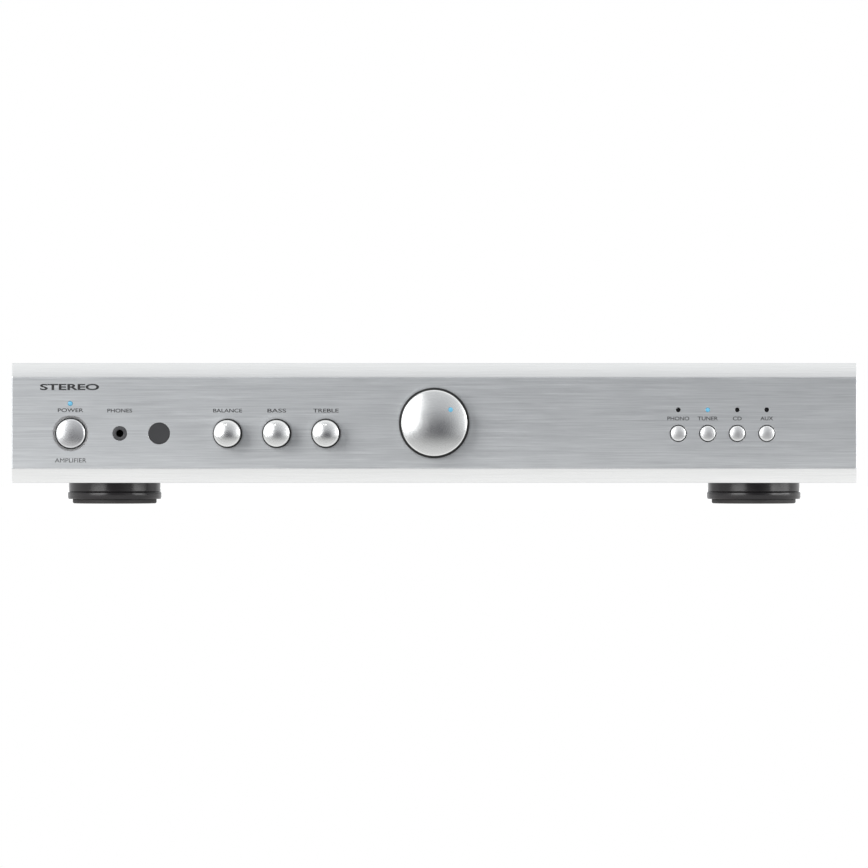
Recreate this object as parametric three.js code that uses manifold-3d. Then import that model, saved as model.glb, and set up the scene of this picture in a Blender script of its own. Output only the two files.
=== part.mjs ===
// A slim integrated stereo amplifier: an aluminium faceplate on a folded steel case, turned knobs and
// push buttons in front, sockets and screw terminals behind, and the power supply and boards inside.
// Millimetres. +X is to the right as seen from the front, +Y to the back, +Z up.
// The origin is on the floor, under the middle of the whole object's box.
import * as THREE from "three";
import { mergeVertices } from "three/addons/utils/BufferGeometryUtils.js";
import Module from "manifold-3d";

const wasm = await Module();
wasm.setup();

// ---------- Driving dimensions ----------
const FACE_WIDTH = 430;
const FACE_HEIGHT = 61;
const FACE_THICKNESS = 9;
const BAND_HEIGHT = 7.2; // the sloped band along the faceplate's top and bottom
const BAND_DEPTH = 3.5; // how far the band falls back at the faceplate's edge
const FACE_BOTTOM = 10.8; // the faceplate's lower edge above the floor
const TOTAL_DEPTH = 347; // volume knob to the ends of the speaker terminals
const VOLUME_REACH = 14.5; // the volume knob's crown in front of the faceplate
const TERMINAL_REACH = 17; // the speaker terminals behind the rear panel

const SHEET = 1.2; // steel sheet of the case
const GAP = 0.3; // clearance between pieces that are screwed together
const CASE_WIDTH = 426;
const CASE_TOP = 70.6;
const CASE_BOTTOM = 12.3; // underside of the base, where the feet are screwed on
const ROW_HEIGHT = 25.2; // the row of controls above the faceplate's lower edge

const FACE_FRONT = VOLUME_REACH - TOTAL_DEPTH / 2;
const REAR_FACE = TOTAL_DEPTH / 2 - TERMINAL_REACH;
const FACE_BACK = FACE_FRONT + FACE_THICKNESS;
const ROW = FACE_BOTTOM + ROW_HEIGHT;
const DEGREE = Math.PI / 180;

// ---------- Materials ----------
const finish = (color, roughness, metalness) =>
  new THREE.MeshStandardMaterial({ color, roughness, metalness });
const brushedAluminium = () => finish(0xb4b8ba, 0.35, 1);
const turnedAluminium = () => finish(0xd2d4d2, 0.28, 1);
const silverPaint = () => finish(0xb9bcbd, 0.45, 0.4);
const zincSteel = () => finish(0xa6aaab, 0.4, 0.9);
const blackPlastic = () => finish(0x151416, 0.45, 0);
const greyPlastic = () => finish(0x4b4b4e, 0.5, 0);
const rubber = () => finish(0x1b1a1b, 0.8, 0);
const darkFilter = () => finish(0x3f3f42, 0.2, 0);
const blueLens = () => finish(0x5cb4e6, 0.3, 0);
const goldPlate = () => finish(0xc9a557, 0.3, 1);
const redPlastic = () => finish(0xa3221d, 0.4, 0);
const circuitBoard = () => finish(0x1f5d3a, 0.5, 0);
const windingFilm = () => finish(0x9c6b2e, 0.4, 0.2);
const capacitorSleeve = () => finish(0x1c1f26, 0.4, 0);

// ---------- Shapes ----------
// A geometry as a manifold-3d solid, and back again.
function solid(geometry) {
  const bare = geometry.clone();
  bare.deleteAttribute("normal");
  bare.deleteAttribute("uv");
  const merged = mergeVertices(bare, 1e-4);
  const triVerts = new Uint32Array(merged.index.array);
  const vertProperties = merged.attributes.position.array;
  return new wasm.Manifold(new wasm.Mesh({ numProp: 3, vertProperties, triVerts }));
}

function surface(made) {
  const { vertProperties, triVerts } = made.getMesh();
  return new THREE.BufferGeometry()
    .setAttribute("position", new THREE.BufferAttribute(vertProperties, 3))
    .setIndex(new THREE.BufferAttribute(triVerts, 1));
}

const join = (...shapes) => surface(shapes.map(solid).reduce((whole, next) => whole.add(next)));
const cut = (body, ...tools) =>
  surface(tools.map(solid).reduce((left, tool) => left.subtract(tool), solid(body)));

// A box from its lowest and highest x, y and z.
const block = ([x0, x1], [y0, y1], [z0, z1]) =>
  new THREE.BoxGeometry(x1 - x0, y1 - y0, z1 - z0).translate((x0 + x1) / 2, (y0 + y1) / 2, (z0 + z1) / 2);

// A cylinder along Y from y0 to y1, and one along Z from z0 to z1.
const rod = (radius, [y0, y1], x = 0, z = 0, sides = 16) =>
  new THREE.CylinderGeometry(radius, radius, y1 - y0, sides).translate(x, (y0 + y1) / 2, z);
const post = (radius, [z0, z1], x = 0, y = 0, sides = 12) =>
  new THREE.CylinderGeometry(radius, radius, z1 - z0, sides)
    .rotateX(Math.PI / 2)
    .translate(x, y, (z0 + z1) / 2);

// A profile of [radius, height] points turned about Y, or about Z. It runs with the height rising.
const turned = (profile, sides = 20) =>
  new THREE.LatheGeometry(profile.map(([radius, height]) => new THREE.Vector2(radius, height)), sides);
const turnedUpright = (profile, sides = 20) => turned(profile, sides).rotateX(Math.PI / 2);

// A closed outline of [y, z] points drawn out along X, centred on x = 0.
function drawnAcross(outline, width) {
  const shape = new THREE.Shape(outline.map(([y, z]) => new THREE.Vector2(y, z)));
  const drawn = new THREE.ExtrudeGeometry(shape, { depth: width, bevelEnabled: false, steps: 1 });
  // The drawing's x, y and depth become y, z and x.
  drawn.applyMatrix4(new THREE.Matrix4().set(0, 0, 1, 0, 1, 0, 0, 0, 0, 1, 0, 0, 0, 0, 0, 1));
  return drawn.translate(-width / 2, 0, 0);
}

// The front of a domed cap as profile points, from the crown on the axis out to its rim.
function dome(radius, rise, crown, steps) {
  const sphere = (radius ** 2 + rise ** 2) / (2 * rise);
  return Array.from({ length: steps + 1 }, (_, i) => {
    const r = (radius * i) / steps;
    return [r, crown + sphere - Math.sqrt(sphere ** 2 - r ** 2)];
  });
}

const object = new THREE.Group();

function piece(group, name, geometry, material, [x, y, z] = [0, 0, 0]) {
  const mesh = new THREE.Mesh(geometry, material);
  mesh.name = name;
  mesh.position.set(x, y, z);
  group.add(mesh);
  return mesh;
}

// ---------- Places of the controls, x and z from the faceplate's middle and lower edge ----------
const POWER = { x: -185, z: ROW_HEIGHT, radius: 7.35, hole: 7.75, dish: 9.1, travel: 2.5 };
const HEADPHONES = { x: -160, radius: 3.55 };
const WINDOW = { x: -140, radius: 5.5 };
const POWER_LAMP = { x: -185.2, z: 40.4 };
const LAMP_RADIUS = 1.15;
const SOURCE_LAMP_HEIGHT = 37.2;
const SOURCE = { names: ["phono", "tuner", "cd", "aux"], first: 124.2, pitch: 15, radius: 3.85, hole: 4.35 };
const TONE = {
  names: ["balance", "bass", "treble"],
  first: -105.1,
  pitch: 25,
  rest: [-9, -13, -3], // degrees clockwise from straight up, where each knob was left
  radius: 6.7,
  skirt: 7.5,
  reach: 13,
  rise: 1.5,
};
const VOLUME = { z: FACE_HEIGHT / 2, radius: 16.7, skirt: 17.95, rise: 2.6, rest: 51, marker: 10.7 };
const SHAFT_RADIUS = 2.95;
const SHAFT_BORE = 3.15;
const BUSH_RADIUS = 3.5;

const sourceX = SOURCE.names.map((_, i) => SOURCE.first + i * SOURCE.pitch);
const toneX = TONE.names.map((_, i) => TONE.first + i * TONE.pitch);

// ---------- Faceplate and the steel panel behind it ----------
const BEHIND = FACE_THICKNESS + GAP; // front of the sub-panel, from the faceplate's front
const SUBPANEL_BACK = BEHIND + SHEET;

function faceplate() {
  const outline = [
    [0, BAND_HEIGHT],
    [BAND_DEPTH, 0],
    [FACE_THICKNESS, 0],
    [FACE_THICKNESS, FACE_HEIGHT],
    [BAND_DEPTH, FACE_HEIGHT],
    [0, FACE_HEIGHT - BAND_HEIGHT],
  ];
  const through = [-1, FACE_THICKNESS + 1];
  const dish = POWER.dish - POWER.hole;
  const tools = [
    rod(POWER.hole, through, POWER.x, POWER.z, 24),
    turned([[0, -1], [POWER.dish, -1], [POWER.dish, 0], [POWER.hole, dish], [0, dish]], 24)
      .translate(POWER.x, 0, POWER.z),
    rod(HEADPHONES.radius + 0.1, through, HEADPHONES.x, ROW_HEIGHT),
    rod(WINDOW.radius + 0.1, through, WINDOW.x, ROW_HEIGHT),
    rod(LAMP_RADIUS + 0.1, through, POWER_LAMP.x, POWER_LAMP.z, 8),
    rod(SHAFT_RADIUS + 1.2, through, 0, VOLUME.z, 12),
    ...toneX.map((x) => rod(SHAFT_RADIUS + 0.8, through, x, ROW_HEIGHT, 12)),
    ...sourceX.map((x) => rod(SOURCE.hole, through, x, ROW_HEIGHT)),
    ...sourceX.map((x) => rod(LAMP_RADIUS + 0.1, through, x, SOURCE_LAMP_HEIGHT, 8)),
  ];
  return cut(drawnAcross(outline, FACE_WIDTH), ...tools);
}

const SUBPANEL_BOTTOM = 3.6; // above the faceplate's lower edge
const SUBPANEL_TOP = 58;

function subpanel() {
  const half = CASE_WIDTH / 2 - SHEET - GAP;
  const through = [BEHIND - 1, SUBPANEL_BACK + 1];
  const plate = block([-half, half], [BEHIND, SUBPANEL_BACK], [SUBPANEL_BOTTOM, SUBPANEL_TOP]);
  const tools = [
    rod(POWER.hole, through, POWER.x, POWER.z),
    rod(HEADPHONES.radius + 0.3, through, HEADPHONES.x, ROW_HEIGHT, 12),
    rod(WINDOW.radius + 0.3, through, WINDOW.x, ROW_HEIGHT, 12),
    rod(LAMP_RADIUS + 0.3, through, POWER_LAMP.x, POWER_LAMP.z, 8),
    rod(BUSH_RADIUS + 1.4, through, 0, VOLUME.z, 12),
    ...toneX.map((x) => rod(BUSH_RADIUS + 0.4, through, x, ROW_HEIGHT, 12)),
    ...sourceX.map((x) => rod(SOURCE.hole, through, x, ROW_HEIGHT, 12)),
    ...sourceX.map((x) => rod(LAMP_RADIUS + 0.3, through, x, SOURCE_LAMP_HEIGHT, 8)),
  ];
  return cut(plate, ...tools);
}

const front = new THREE.Group();
front.position.set(0, FACE_FRONT, FACE_BOTTOM);
object.add(front);
piece(front, "front_panel", faceplate(), brushedAluminium());
piece(front, "front_subpanel", subpanel(), zincSteel());

// ---------- Power button, its lamp, the headphone socket and the remote control window ----------
const BUTTON_FLANGE = SUBPANEL_BACK + GAP; // a button's flange rests behind the sub-panel
const SWITCH_FRONT = 24;

function powerButton() {
  const { radius } = POWER;
  const flange = 8.8;
  const stem = 2.2;
  return turned([
    ...dome(radius - 0.3, 1, -1.8, 3),
    [radius, -0.5],
    [radius, BUTTON_FLANGE],
    [flange, BUTTON_FLANGE],
    [flange, BUTTON_FLANGE + 1.2],
    [stem, BUTTON_FLANGE + 1.2],
    [stem, SWITCH_FRONT + 4],
    [0, SWITCH_FRONT + 4],
  ]);
}

const powerSwitch = () =>
  cut(
    block([-7, 7], [SWITCH_FRONT, SWITCH_FRONT + 22], [-7.5, 7.5]),
    rod(2.6, [SWITCH_FRONT - 1, SWITCH_FRONT + 8], 0, 0, 12),
  );

const lamp = () =>
  turned([[0, -0.25], [LAMP_RADIUS * 0.8, -0.1], [LAMP_RADIUS, 0.2], [LAMP_RADIUS, 16], [0, 16]], 8);

function headphoneSocket() {
  const bezel = rod(HEADPHONES.radius, [-0.3, 14]);
  const body = block([-6, 6], [SUBPANEL_BACK + GAP, 26], [-6.5, 6.5]);
  return cut(join(bezel, body), rod(1.8, [-1, 22], 0, 0, 12));
}

const infraredWindow = () =>
  turned([[0, 0.1], [WINDOW.radius, 0.1], [WINDOW.radius, 12], [0, 12]], 16);

piece(front, "power_button", powerButton(), turnedAluminium(), [POWER.x, 0, POWER.z]);
piece(front, "power_switch", powerSwitch(), blackPlastic(), [POWER.x, 0, POWER.z]);
piece(front, "power_lamp", lamp(), blueLens(), [POWER_LAMP.x, 0, POWER_LAMP.z]);
piece(front, "headphone_socket", headphoneSocket(), greyPlastic(), [HEADPHONES.x, 0, ROW_HEIGHT]);
piece(front, "infrared_window", infraredWindow(), darkFilter(), [WINDOW.x, 0, ROW_HEIGHT]);

// ---------- Tone controls: an aluminium cap on a black hub, on the potentiometer's shaft ----------
const HUB_RADIUS = 5;
const SKIRT_FRONT = -1.9;
const SKIRT_BACK = -0.4;
const POT_FRONT = SUBPANEL_BACK + 2.2;

// A cap's cup: the domed front, a straight side, and a bore for the hub from behind.
function knobCap({ radius, rise }, reach, bore, sides) {
  const edge = 0.5;
  const wall = 2.2;
  return turned(
    [
      ...dome(radius - edge, rise, -reach, 3),
      [radius, -reach + rise + edge],
      [radius, SKIRT_FRONT - 0.1],
      [bore, SKIRT_FRONT - 0.1],
      [bore, -reach + rise + wall],
      [0, -reach + rise + wall],
    ],
    sides,
  );
}

// The black hub: a boss inside the cap, and a skirt that shows as a dark ring round it.
function knobHub(skirt, boss, front, sides) {
  return turned(
    [
      [0, front],
      [boss, front],
      [boss, SKIRT_FRONT],
      [skirt, SKIRT_FRONT],
      [skirt, SKIRT_BACK],
      [SHAFT_BORE, SKIRT_BACK],
      [SHAFT_BORE, front + 2],
      [0, front + 2],
    ],
    sides,
  );
}

// A small dimple drilled into a tone knob's face marks where it points.
function toneKnob(rest) {
  const cap = knobCap(TONE, TONE.reach, HUB_RADIUS + 0.2, 20);
  const dimple = rod(0.85, [-TONE.reach - 1, -TONE.reach + TONE.rise * 0.5 + 0.5], 0, 4.75, 8);
  return cut(cap, dimple).rotateY(rest * DEGREE);
}

TONE.names.forEach((name, i) => {
  const place = [toneX[i], 0, ROW_HEIGHT];
  const hubFront = -TONE.reach + TONE.rise + 2.3;
  const shaft = [hubFront + 2.1, POT_FRONT + 8.4];
  piece(front, `${name}_knob`, toneKnob(TONE.rest[i]), turnedAluminium(), place);
  piece(front, `${name}_knob_hub`, knobHub(TONE.skirt, HUB_RADIUS, hubFront, 20), blackPlastic(), place);
  piece(front, `${name}_shaft`, rod(SHAFT_RADIUS, shaft, 0, 0, 12), zincSteel(), place);
});

// Three potentiometers soldered to one board, each with a threaded bush that its shaft runs in.
function toneBoard() {
  const board = block([-40, 40], [POT_FRONT + 10, POT_FRONT + 11.6], [-17, 22]);
  const offsets = toneX.map((x) => x - toneX[1]);
  const pots = offsets.flatMap((x) => [
    block([x - 8.5, x + 8.5], [POT_FRONT, POT_FRONT + 10.1], [-9, 9]),
    rod(BUSH_RADIUS, [BEHIND, POT_FRONT + 0.1], x, 0, 12),
  ]);
  const bores = offsets.map((x) => rod(SHAFT_BORE, [BEHIND - 1, POT_FRONT + 8.6], x, 0, 12));
  return cut(join(board, ...pots), ...bores);
}
piece(front, "tone_board", toneBoard(), circuitBoard(), [toneX[1], 0, ROW_HEIGHT]);

// ---------- Volume control: cap, hub, blue marker, shaft, potentiometer and its drive motor ----------
const VOLUME_BOSS = 11;
const MARKER_RADIUS = 1.15;
const VOLUME_POT_DEPTH = 20;

const crownSphere = (VOLUME.radius ** 2 + VOLUME.rise ** 2) / (2 * VOLUME.rise);
const markerFront = -VOLUME_REACH + crownSphere - Math.sqrt(crownSphere ** 2 - VOLUME.marker ** 2) - 0.1;
const markerBack = markerFront + 3.4;
const volumeHubFront = -VOLUME_REACH + VOLUME.rise + 2.3;

const volumeKnob = () =>
  cut(
    knobCap(VOLUME, VOLUME_REACH, VOLUME_BOSS + 0.2, 32),
    rod(MARKER_RADIUS + 0.1, [-VOLUME_REACH - 1, markerBack + 0.1], 0, VOLUME.marker, 8),
  ).rotateY(VOLUME.rest * DEGREE);

const volumeMarker = () => rod(MARKER_RADIUS, [markerFront, markerBack], 0, VOLUME.marker, 8)
  .rotateY(VOLUME.rest * DEGREE);

const volumePot = () =>
  cut(
    join(
      rod(BUSH_RADIUS + 0.9, [BEHIND, POT_FRONT + 0.1], 0, 0, 12),
      block([-13, 13], [POT_FRONT, POT_FRONT + VOLUME_POT_DEPTH], [-12, 14]),
    ),
    rod(SHAFT_BORE, [BEHIND - 1, POT_FRONT + VOLUME_POT_DEPTH - 2], 0, 0, 12),
  );

const MOTOR_FRONT = POT_FRONT + VOLUME_POT_DEPTH + GAP;
const volumeMotor = () =>
  join(
    block([-13, 13], [MOTOR_FRONT, MOTOR_FRONT + 7], [-12, 14]),
    rod(10, [MOTOR_FRONT + 6.9, MOTOR_FRONT + 27], 0, 1),
    rod(3, [MOTOR_FRONT + 26.9, MOTOR_FRONT + 29], 0, 1, 12),
  );

const volumePlace = [0, 0, VOLUME.z];
piece(front, "volume_knob", volumeKnob(), turnedAluminium(), volumePlace);
piece(front, "volume_knob_marker", volumeMarker(), blueLens(), volumePlace);
const volumeHub = knobHub(VOLUME.skirt, VOLUME_BOSS, volumeHubFront, 28);
piece(front, "volume_knob_hub", volumeHub, blackPlastic(), volumePlace);
piece(
  front,
  "volume_shaft",
  rod(SHAFT_RADIUS, [volumeHubFront + 2.1, POT_FRONT + VOLUME_POT_DEPTH - 2.3], 0, 0, 12),
  zincSteel(),
  volumePlace,
);
piece(front, "volume_pot", volumePot(), zincSteel(), volumePlace);
piece(front, "volume_motor", volumeMotor(), zincSteel(), volumePlace);

// ---------- Source buttons, the light pipe over them, and the board with their switches ----------
const SOURCE_TRAVEL = 0.8;
const SOURCE_STEM_END = BUTTON_FLANGE + 3.2;
const SWITCH_TIP = SOURCE_STEM_END + SOURCE_TRAVEL + 0.3;
const BOARD_FRONT = SWITCH_TIP + 4.3;

const sourceButton = () =>
  turned(
    [
      ...dome(SOURCE.radius - 0.2, 0.6, -1.4, 2),
      [SOURCE.radius, -0.6],
      [SOURCE.radius, BUTTON_FLANGE],
      [SOURCE.radius + 1.2, BUTTON_FLANGE],
      [SOURCE.radius + 1.2, BUTTON_FLANGE + 1.2],
      [2, BUTTON_FLANGE + 1.2],
      [2, SOURCE_STEM_END],
      [0, SOURCE_STEM_END],
    ],
    16,
  );

sourceX.forEach((x, i) => {
  piece(front, `${SOURCE.names[i]}_button`, sourceButton(), turnedAluminium(), [x, 0, ROW_HEIGHT]);
});

// One moulding: four rods that reach the faceplate, on a bar behind the sub-panel.
function lightPipe() {
  const bar = block([sourceX[0] - 4, sourceX[3] + 4], [12.5, 15.5], [-2.5, 2.5]);
  return join(bar, ...sourceX.map((x) => rod(LAMP_RADIUS, [0.1, 12.6], x, 0, 8)));
}
piece(front, "source_light_pipe", lightPipe(), darkFilter(), [0, 0, SOURCE_LAMP_HEIGHT]);

function controlBoard() {
  const board = block([sourceX[0] - 16, sourceX[3] + 20], [BOARD_FRONT, BOARD_FRONT + 1.6], [8, 52]);
  const switches = sourceX.flatMap((x) => [
    block([x - 3, x + 3], [SWITCH_TIP + 1, BOARD_FRONT + 0.1], [ROW_HEIGHT - 3, ROW_HEIGHT + 3]),
    rod(1.7, [SWITCH_TIP, SWITCH_TIP + 1.1], x, ROW_HEIGHT, 8),
  ]);
  return join(board, ...switches);
}
piece(front, "control_board", controlBoard(), circuitBoard());

// ---------- Case: base tray, folded cover and rear panel ----------
const CASE_FRONT = FACE_BACK + GAP;
const BASE_FRONT = FACE_FRONT + SUBPANEL_BACK + GAP;
const BASE_HALF = CASE_WIDTH / 2 - SHEET - GAP;
const INNER_REAR = REAR_FACE - SHEET;
const SLOT_WIDTH = 3;
const SLOT_PITCH = 8;

// A bank of long slots that run front to back, in rows one behind another.
function slotBank({ x, y, columns, rows, length }, [z0, z1]) {
  const tools = [];
  for (let row = 0; row < rows; row += 1) {
    for (let column = 0; column < columns; column += 1) {
      const left = x + (column - (columns - 1) / 2) * SLOT_PITCH - SLOT_WIDTH / 2;
      const start = y + (row - (rows - 1) / 2) * (length + SLOT_PITCH) - length / 2;
      tools.push(block([left, left + SLOT_WIDTH], [start, start + length], [z0, z1]));
    }
  }
  return tools;
}

const COVER_VENTS = [
  { x: 60, y: 62, columns: 26, rows: 2, length: 42 },
  { x: -115, y: -60, columns: 10, rows: 1, length: 60 },
];
const BASE_VENTS = [{ x: 20, y: 50, columns: 10, rows: 1, length: 70 }];

function channel(outerHalf, [y0, y1], [z0, z1], opensUp) {
  const outside = block([-outerHalf, outerHalf], [y0, y1], [z0, z1]);
  const hollow = opensUp ? [z0 + SHEET, z1 + 1] : [z0 - 1, z1 - SHEET];
  return cut(outside, block([SHEET - outerHalf, outerHalf - SHEET], [y0 - 1, y1 + 1], hollow));
}

function cover() {
  const shell = channel(CASE_WIDTH / 2, [CASE_FRONT, REAR_FACE + 1], [CASE_BOTTOM, CASE_TOP], false);
  return cut(shell, ...COVER_VENTS.flatMap((bank) => slotBank(bank, [CASE_TOP - 3, CASE_TOP + 1])));
}

function base() {
  const tray = channel(BASE_HALF, [BASE_FRONT, INNER_REAR - GAP], [CASE_BOTTOM, CASE_BOTTOM + 14], true);
  return cut(tray, ...BASE_VENTS.flatMap((bank) => slotBank(bank, [CASE_BOTTOM - 1, CASE_BOTTOM + 3])));
}

piece(object, "top_cover", cover(), silverPaint());
piece(object, "chassis_base", base(), zincSteel());

// ---------- Rear: places of the sockets, z above the floor ----------
const JACK = { radius: 4.15, bore: 1.7, length: 9.5, rows: [32, 50] };
const INPUT_COLUMNS = [178, 163, 148, 133];
const PREOUT_COLUMN = 104;
const GROUND = { x: 197, z: 41, radius: 4.6 };
const TRIGGER = { x: 80, z: 41, radius: 3.6 };
const INLET = { x: -178, z: 41, width: 24, height: 16, depth: 16.5 };
const SPEAKER_POSTS = [
  { name: "left_negative", x: -31, red: false },
  { name: "left_positive", x: -50, red: true },
  { name: "right_negative", x: -76, red: false },
  { name: "right_positive", x: -95, red: true },
];
const POST_HEIGHT = 41;
const STUD_RADIUS = 3;
const STUD_END = 13;
const STUD_BORE = 3.2; // the nut's and the washer's hole round the stud
const PLUG_BORE = 2.1; // takes a 4 mm plug

function rearPanel() {
  const through = [INNER_REAR - 1, REAR_FACE + 1];
  const top = CASE_TOP - SHEET - GAP;
  const plate = block([-BASE_HALF, BASE_HALF], [INNER_REAR, REAR_FACE], [CASE_BOTTOM, top]);
  const jackHole = (x, z) => rod(JACK.radius + 0.35, through, x, z, 12);
  return cut(
    plate,
    ...JACK.rows.flatMap((z) => [...INPUT_COLUMNS, PREOUT_COLUMN].map((x) => jackHole(x, z))),
    rod(TRIGGER.radius + 0.3, through, TRIGGER.x, TRIGGER.z, 12),
    rod(2.3, through, GROUND.x, GROUND.z, 12),
    block([INLET.x - 14.2, INLET.x + 14.2], through, [INLET.z - 10.2, INLET.z + 10.2]),
    ...SPEAKER_POSTS.map(({ x }) => rod(5.2, through, x, POST_HEIGHT, 12)),
  );
}
piece(object, "rear_panel", rearPanel(), silverPaint());

const rear = new THREE.Group();
rear.position.set(0, REAR_FACE, 0);
object.add(rear);

// A moulded bank of phono sockets: the block is behind the panel, and the barrels reach through it.
function jackBank(columns) {
  const inside = -SHEET - GAP;
  const left = Math.min(...columns) - 7;
  const right = Math.max(...columns) + 7;
  const bank = block([left, right], [inside - 12, inside], [JACK.rows[0] - 8, JACK.rows[1] + 8]);
  const places = columns.flatMap((x) => JACK.rows.map((z) => [x, z]));
  const barrels = places.map(([x, z]) => rod(JACK.radius, [inside - 0.1, JACK.length], x, z, 12));
  const bores = places.map(([x, z]) => rod(JACK.bore, [-8, JACK.length + 1], x, z, 6));
  return cut(join(bank, ...barrels), ...bores);
}
piece(rear, "input_jacks", jackBank(INPUT_COLUMNS), blackPlastic());
piece(rear, "preout_jacks", jackBank([PREOUT_COLUMN]), blackPlastic());

const triggerSocket = () =>
  cut(
    join(rod(TRIGGER.radius, [-4, 1], 0, 0, 12), block([-5.5, 5.5], [-15, -SHEET - GAP], [-6, 6])),
    rod(1.8, [-13, 2], 0, 0, 8),
  );
piece(rear, "trigger_socket", triggerSocket(), blackPlastic(), [TRIGGER.x, 0, TRIGGER.z]);

// Mains inlet: a flanged housing with a deep recess that holds three flat pins.
function mainsInlet() {
  const half = INLET.width / 2;
  const high = INLET.height / 2;
  const flange = block([-16, 16], [GAP, 3.2], [-12.2, 12.2]);
  const housing = block([-14, 14], [-17, 3], [-10, 10]);
  const mouth = 3.2;
  const floor = mouth - INLET.depth;
  const recess = block([-half, half], [floor, mouth + 1], [-high, high]);
  const pin = (x, z) => block([x - 1, x + 1], [floor - 0.1, mouth - 2.5], [z - 2, z + 2]);
  return join(cut(join(flange, housing), recess), pin(-7, -2), pin(7, -2), pin(0, 2));
}
piece(rear, "mains_inlet", mainsInlet(), blackPlastic(), [INLET.x, 0, INLET.z]);

// Speaker terminals: a plate with four hollow threaded studs, and on each a loose washer and a thumb nut.
const PLATE_FACE = 3;
const WASHER = { radius: 6.5, thickness: 1 };
const NUT_FRONT = PLATE_FACE + 0.1 + WASHER.thickness + 0.1;

function terminalPlate() {
  const xs = SPEAKER_POSTS.map(({ x }) => x);
  const plate = block([Math.min(...xs) - 11, Math.max(...xs) + 11], [0.15, PLATE_FACE], [-12, 12]);
  const studs = xs.map((x) => rod(STUD_RADIUS, [-9, STUD_END], x, 0, 12));
  const collars = xs.map((x) => rod(4.7, [-5, 0.3], x, 0, 12));
  const bores = xs.map((x) => rod(PLUG_BORE, [1, STUD_END + 1], x, 0, 8));
  return cut(join(plate, ...collars, ...studs), ...bores);
}
piece(rear, "speaker_terminal_plate", terminalPlate(), blackPlastic(), [0, 0, POST_HEIGHT]);

const ring = (outer, inner, [y0, y1], sides) =>
  turned([[inner, y0], [outer, y0], [outer, y1], [inner, y1], [inner, y0]], sides);

// The nut's bore takes the stud, and narrows at its end to the hole for a banana plug.
const thumbNut = () =>
  turned(
    [
      [STUD_BORE, NUT_FRONT],
      [7.2, NUT_FRONT],
      [7.2, TERMINAL_REACH - 0.8],
      [6.4, TERMINAL_REACH],
      [PLUG_BORE, TERMINAL_REACH],
      [PLUG_BORE, STUD_END + 1],
      [STUD_BORE, STUD_END + 1],
      [STUD_BORE, NUT_FRONT],
    ],
    16,
  );

SPEAKER_POSTS.forEach(({ name, x, red }) => {
  const place = [x, 0, POST_HEIGHT];
  const washer = ring(WASHER.radius, STUD_BORE, [PLATE_FACE + 0.1, PLATE_FACE + 0.1 + WASHER.thickness], 16);
  piece(rear, `${name}_washer`, washer, goldPlate(), place);
  piece(rear, `${name}_nut`, thumbNut(), red ? redPlastic() : blackPlastic(), place);
});

// Ground terminal: a thumb screw through a loose washer.
const groundScrew = () =>
  turned(
    [
      [0, -10],
      [1.9, -10],
      [1.9, 1.5],
      [GROUND.radius, 1.5],
      [GROUND.radius, 9],
      [GROUND.radius - 0.8, 9.6],
      [0, 9.6],
    ],
    12,
  );
const groundPlace = [GROUND.x, 0, GROUND.z];
piece(rear, "ground_washer", ring(5, 2.1, [0.15, 1.35], 12), zincSteel(), groundPlace);
piece(rear, "ground_screw", groundScrew(), goldPlate(), groundPlace);

// ---------- Power supply and amplifier, inside the case ----------
const FLOOR = CASE_BOTTOM + SHEET + GAP; // the base's inner face
const TRANSFORMER = { x: -115, y: -60, outer: 52, inner: 17, height: 44 };
const HEATSINK = { x: 20, y: 50, length: 180, base: 6, fin: 24, pitch: 9, height: 42 };
const BOARD = { x: [40, 206], y: [-96, 138], z: 19.5 };
const CAPACITOR = { radius: 15, height: 40, x: 66, y: [-30, 8] };

// A toroid with rounded shoulders, clamped by a dished plate and a bolt through its middle.
function transformer() {
  const { outer, inner, height } = TRANSFORMER;
  const shoulder = 7;
  const windings = turnedUpright(
    [
      [inner, 0],
      [outer - shoulder, 0],
      [outer, shoulder],
      [outer, height - shoulder],
      [outer - shoulder, height],
      [inner, height],
      [inner, 0],
    ],
    24,
  );
  const clamp = post(30, [height - 0.1, height + 1.6], 0, 0, 16);
  const bolt = post(4, [0, height + 6], 0, 0, 10);
  return join(windings, clamp, bolt);
}
piece(object, "power_transformer", transformer(), windingFilm(), [TRANSFORMER.x, TRANSFORMER.y, FLOOR]);

// An extruded comb: fins stand out to the left of a thick spine, and the output devices bolt to its right.
function heatsink() {
  const { length, base: spine, fin, pitch, height } = HEATSINK;
  const thickness = 2.4;
  const count = Math.floor(length / pitch);
  const outline = [[0, length / 2], [spine, length / 2], [spine, -length / 2], [0, -length / 2]];
  for (let i = 0; i < count; i += 1) {
    const middle = (i - (count - 1) / 2) * pitch;
    outline.push([0, middle - thickness / 2], [-fin, middle - thickness / 2]);
    outline.push([-fin, middle + thickness / 2], [0, middle + thickness / 2]);
  }
  const shape = new THREE.Shape(outline.map(([x, y]) => new THREE.Vector2(x, y)));
  return new THREE.ExtrudeGeometry(shape, { depth: height, bevelEnabled: false, steps: 1 });
}
piece(object, "heatsink", heatsink(), finish(0x2a2b2d, 0.5, 0.6), [HEATSINK.x, HEATSINK.y, FLOOR + 4]);

function mainBoard() {
  const [left, right] = BOARD.x;
  const [near, far] = BOARD.y;
  const board = block([left, right], [near, far], [BOARD.z, BOARD.z + 1.6]);
  const inset = 8;
  const pillar = (x, y) => post(3, [FLOOR, BOARD.z + 0.1], x, y, 10);
  const rows = [near + inset, far - inset];
  return join(board, ...rows.flatMap((y) => [pillar(left + inset, y), pillar(right - inset, y)]));
}
piece(object, "main_board", mainBoard(), circuitBoard());

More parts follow.
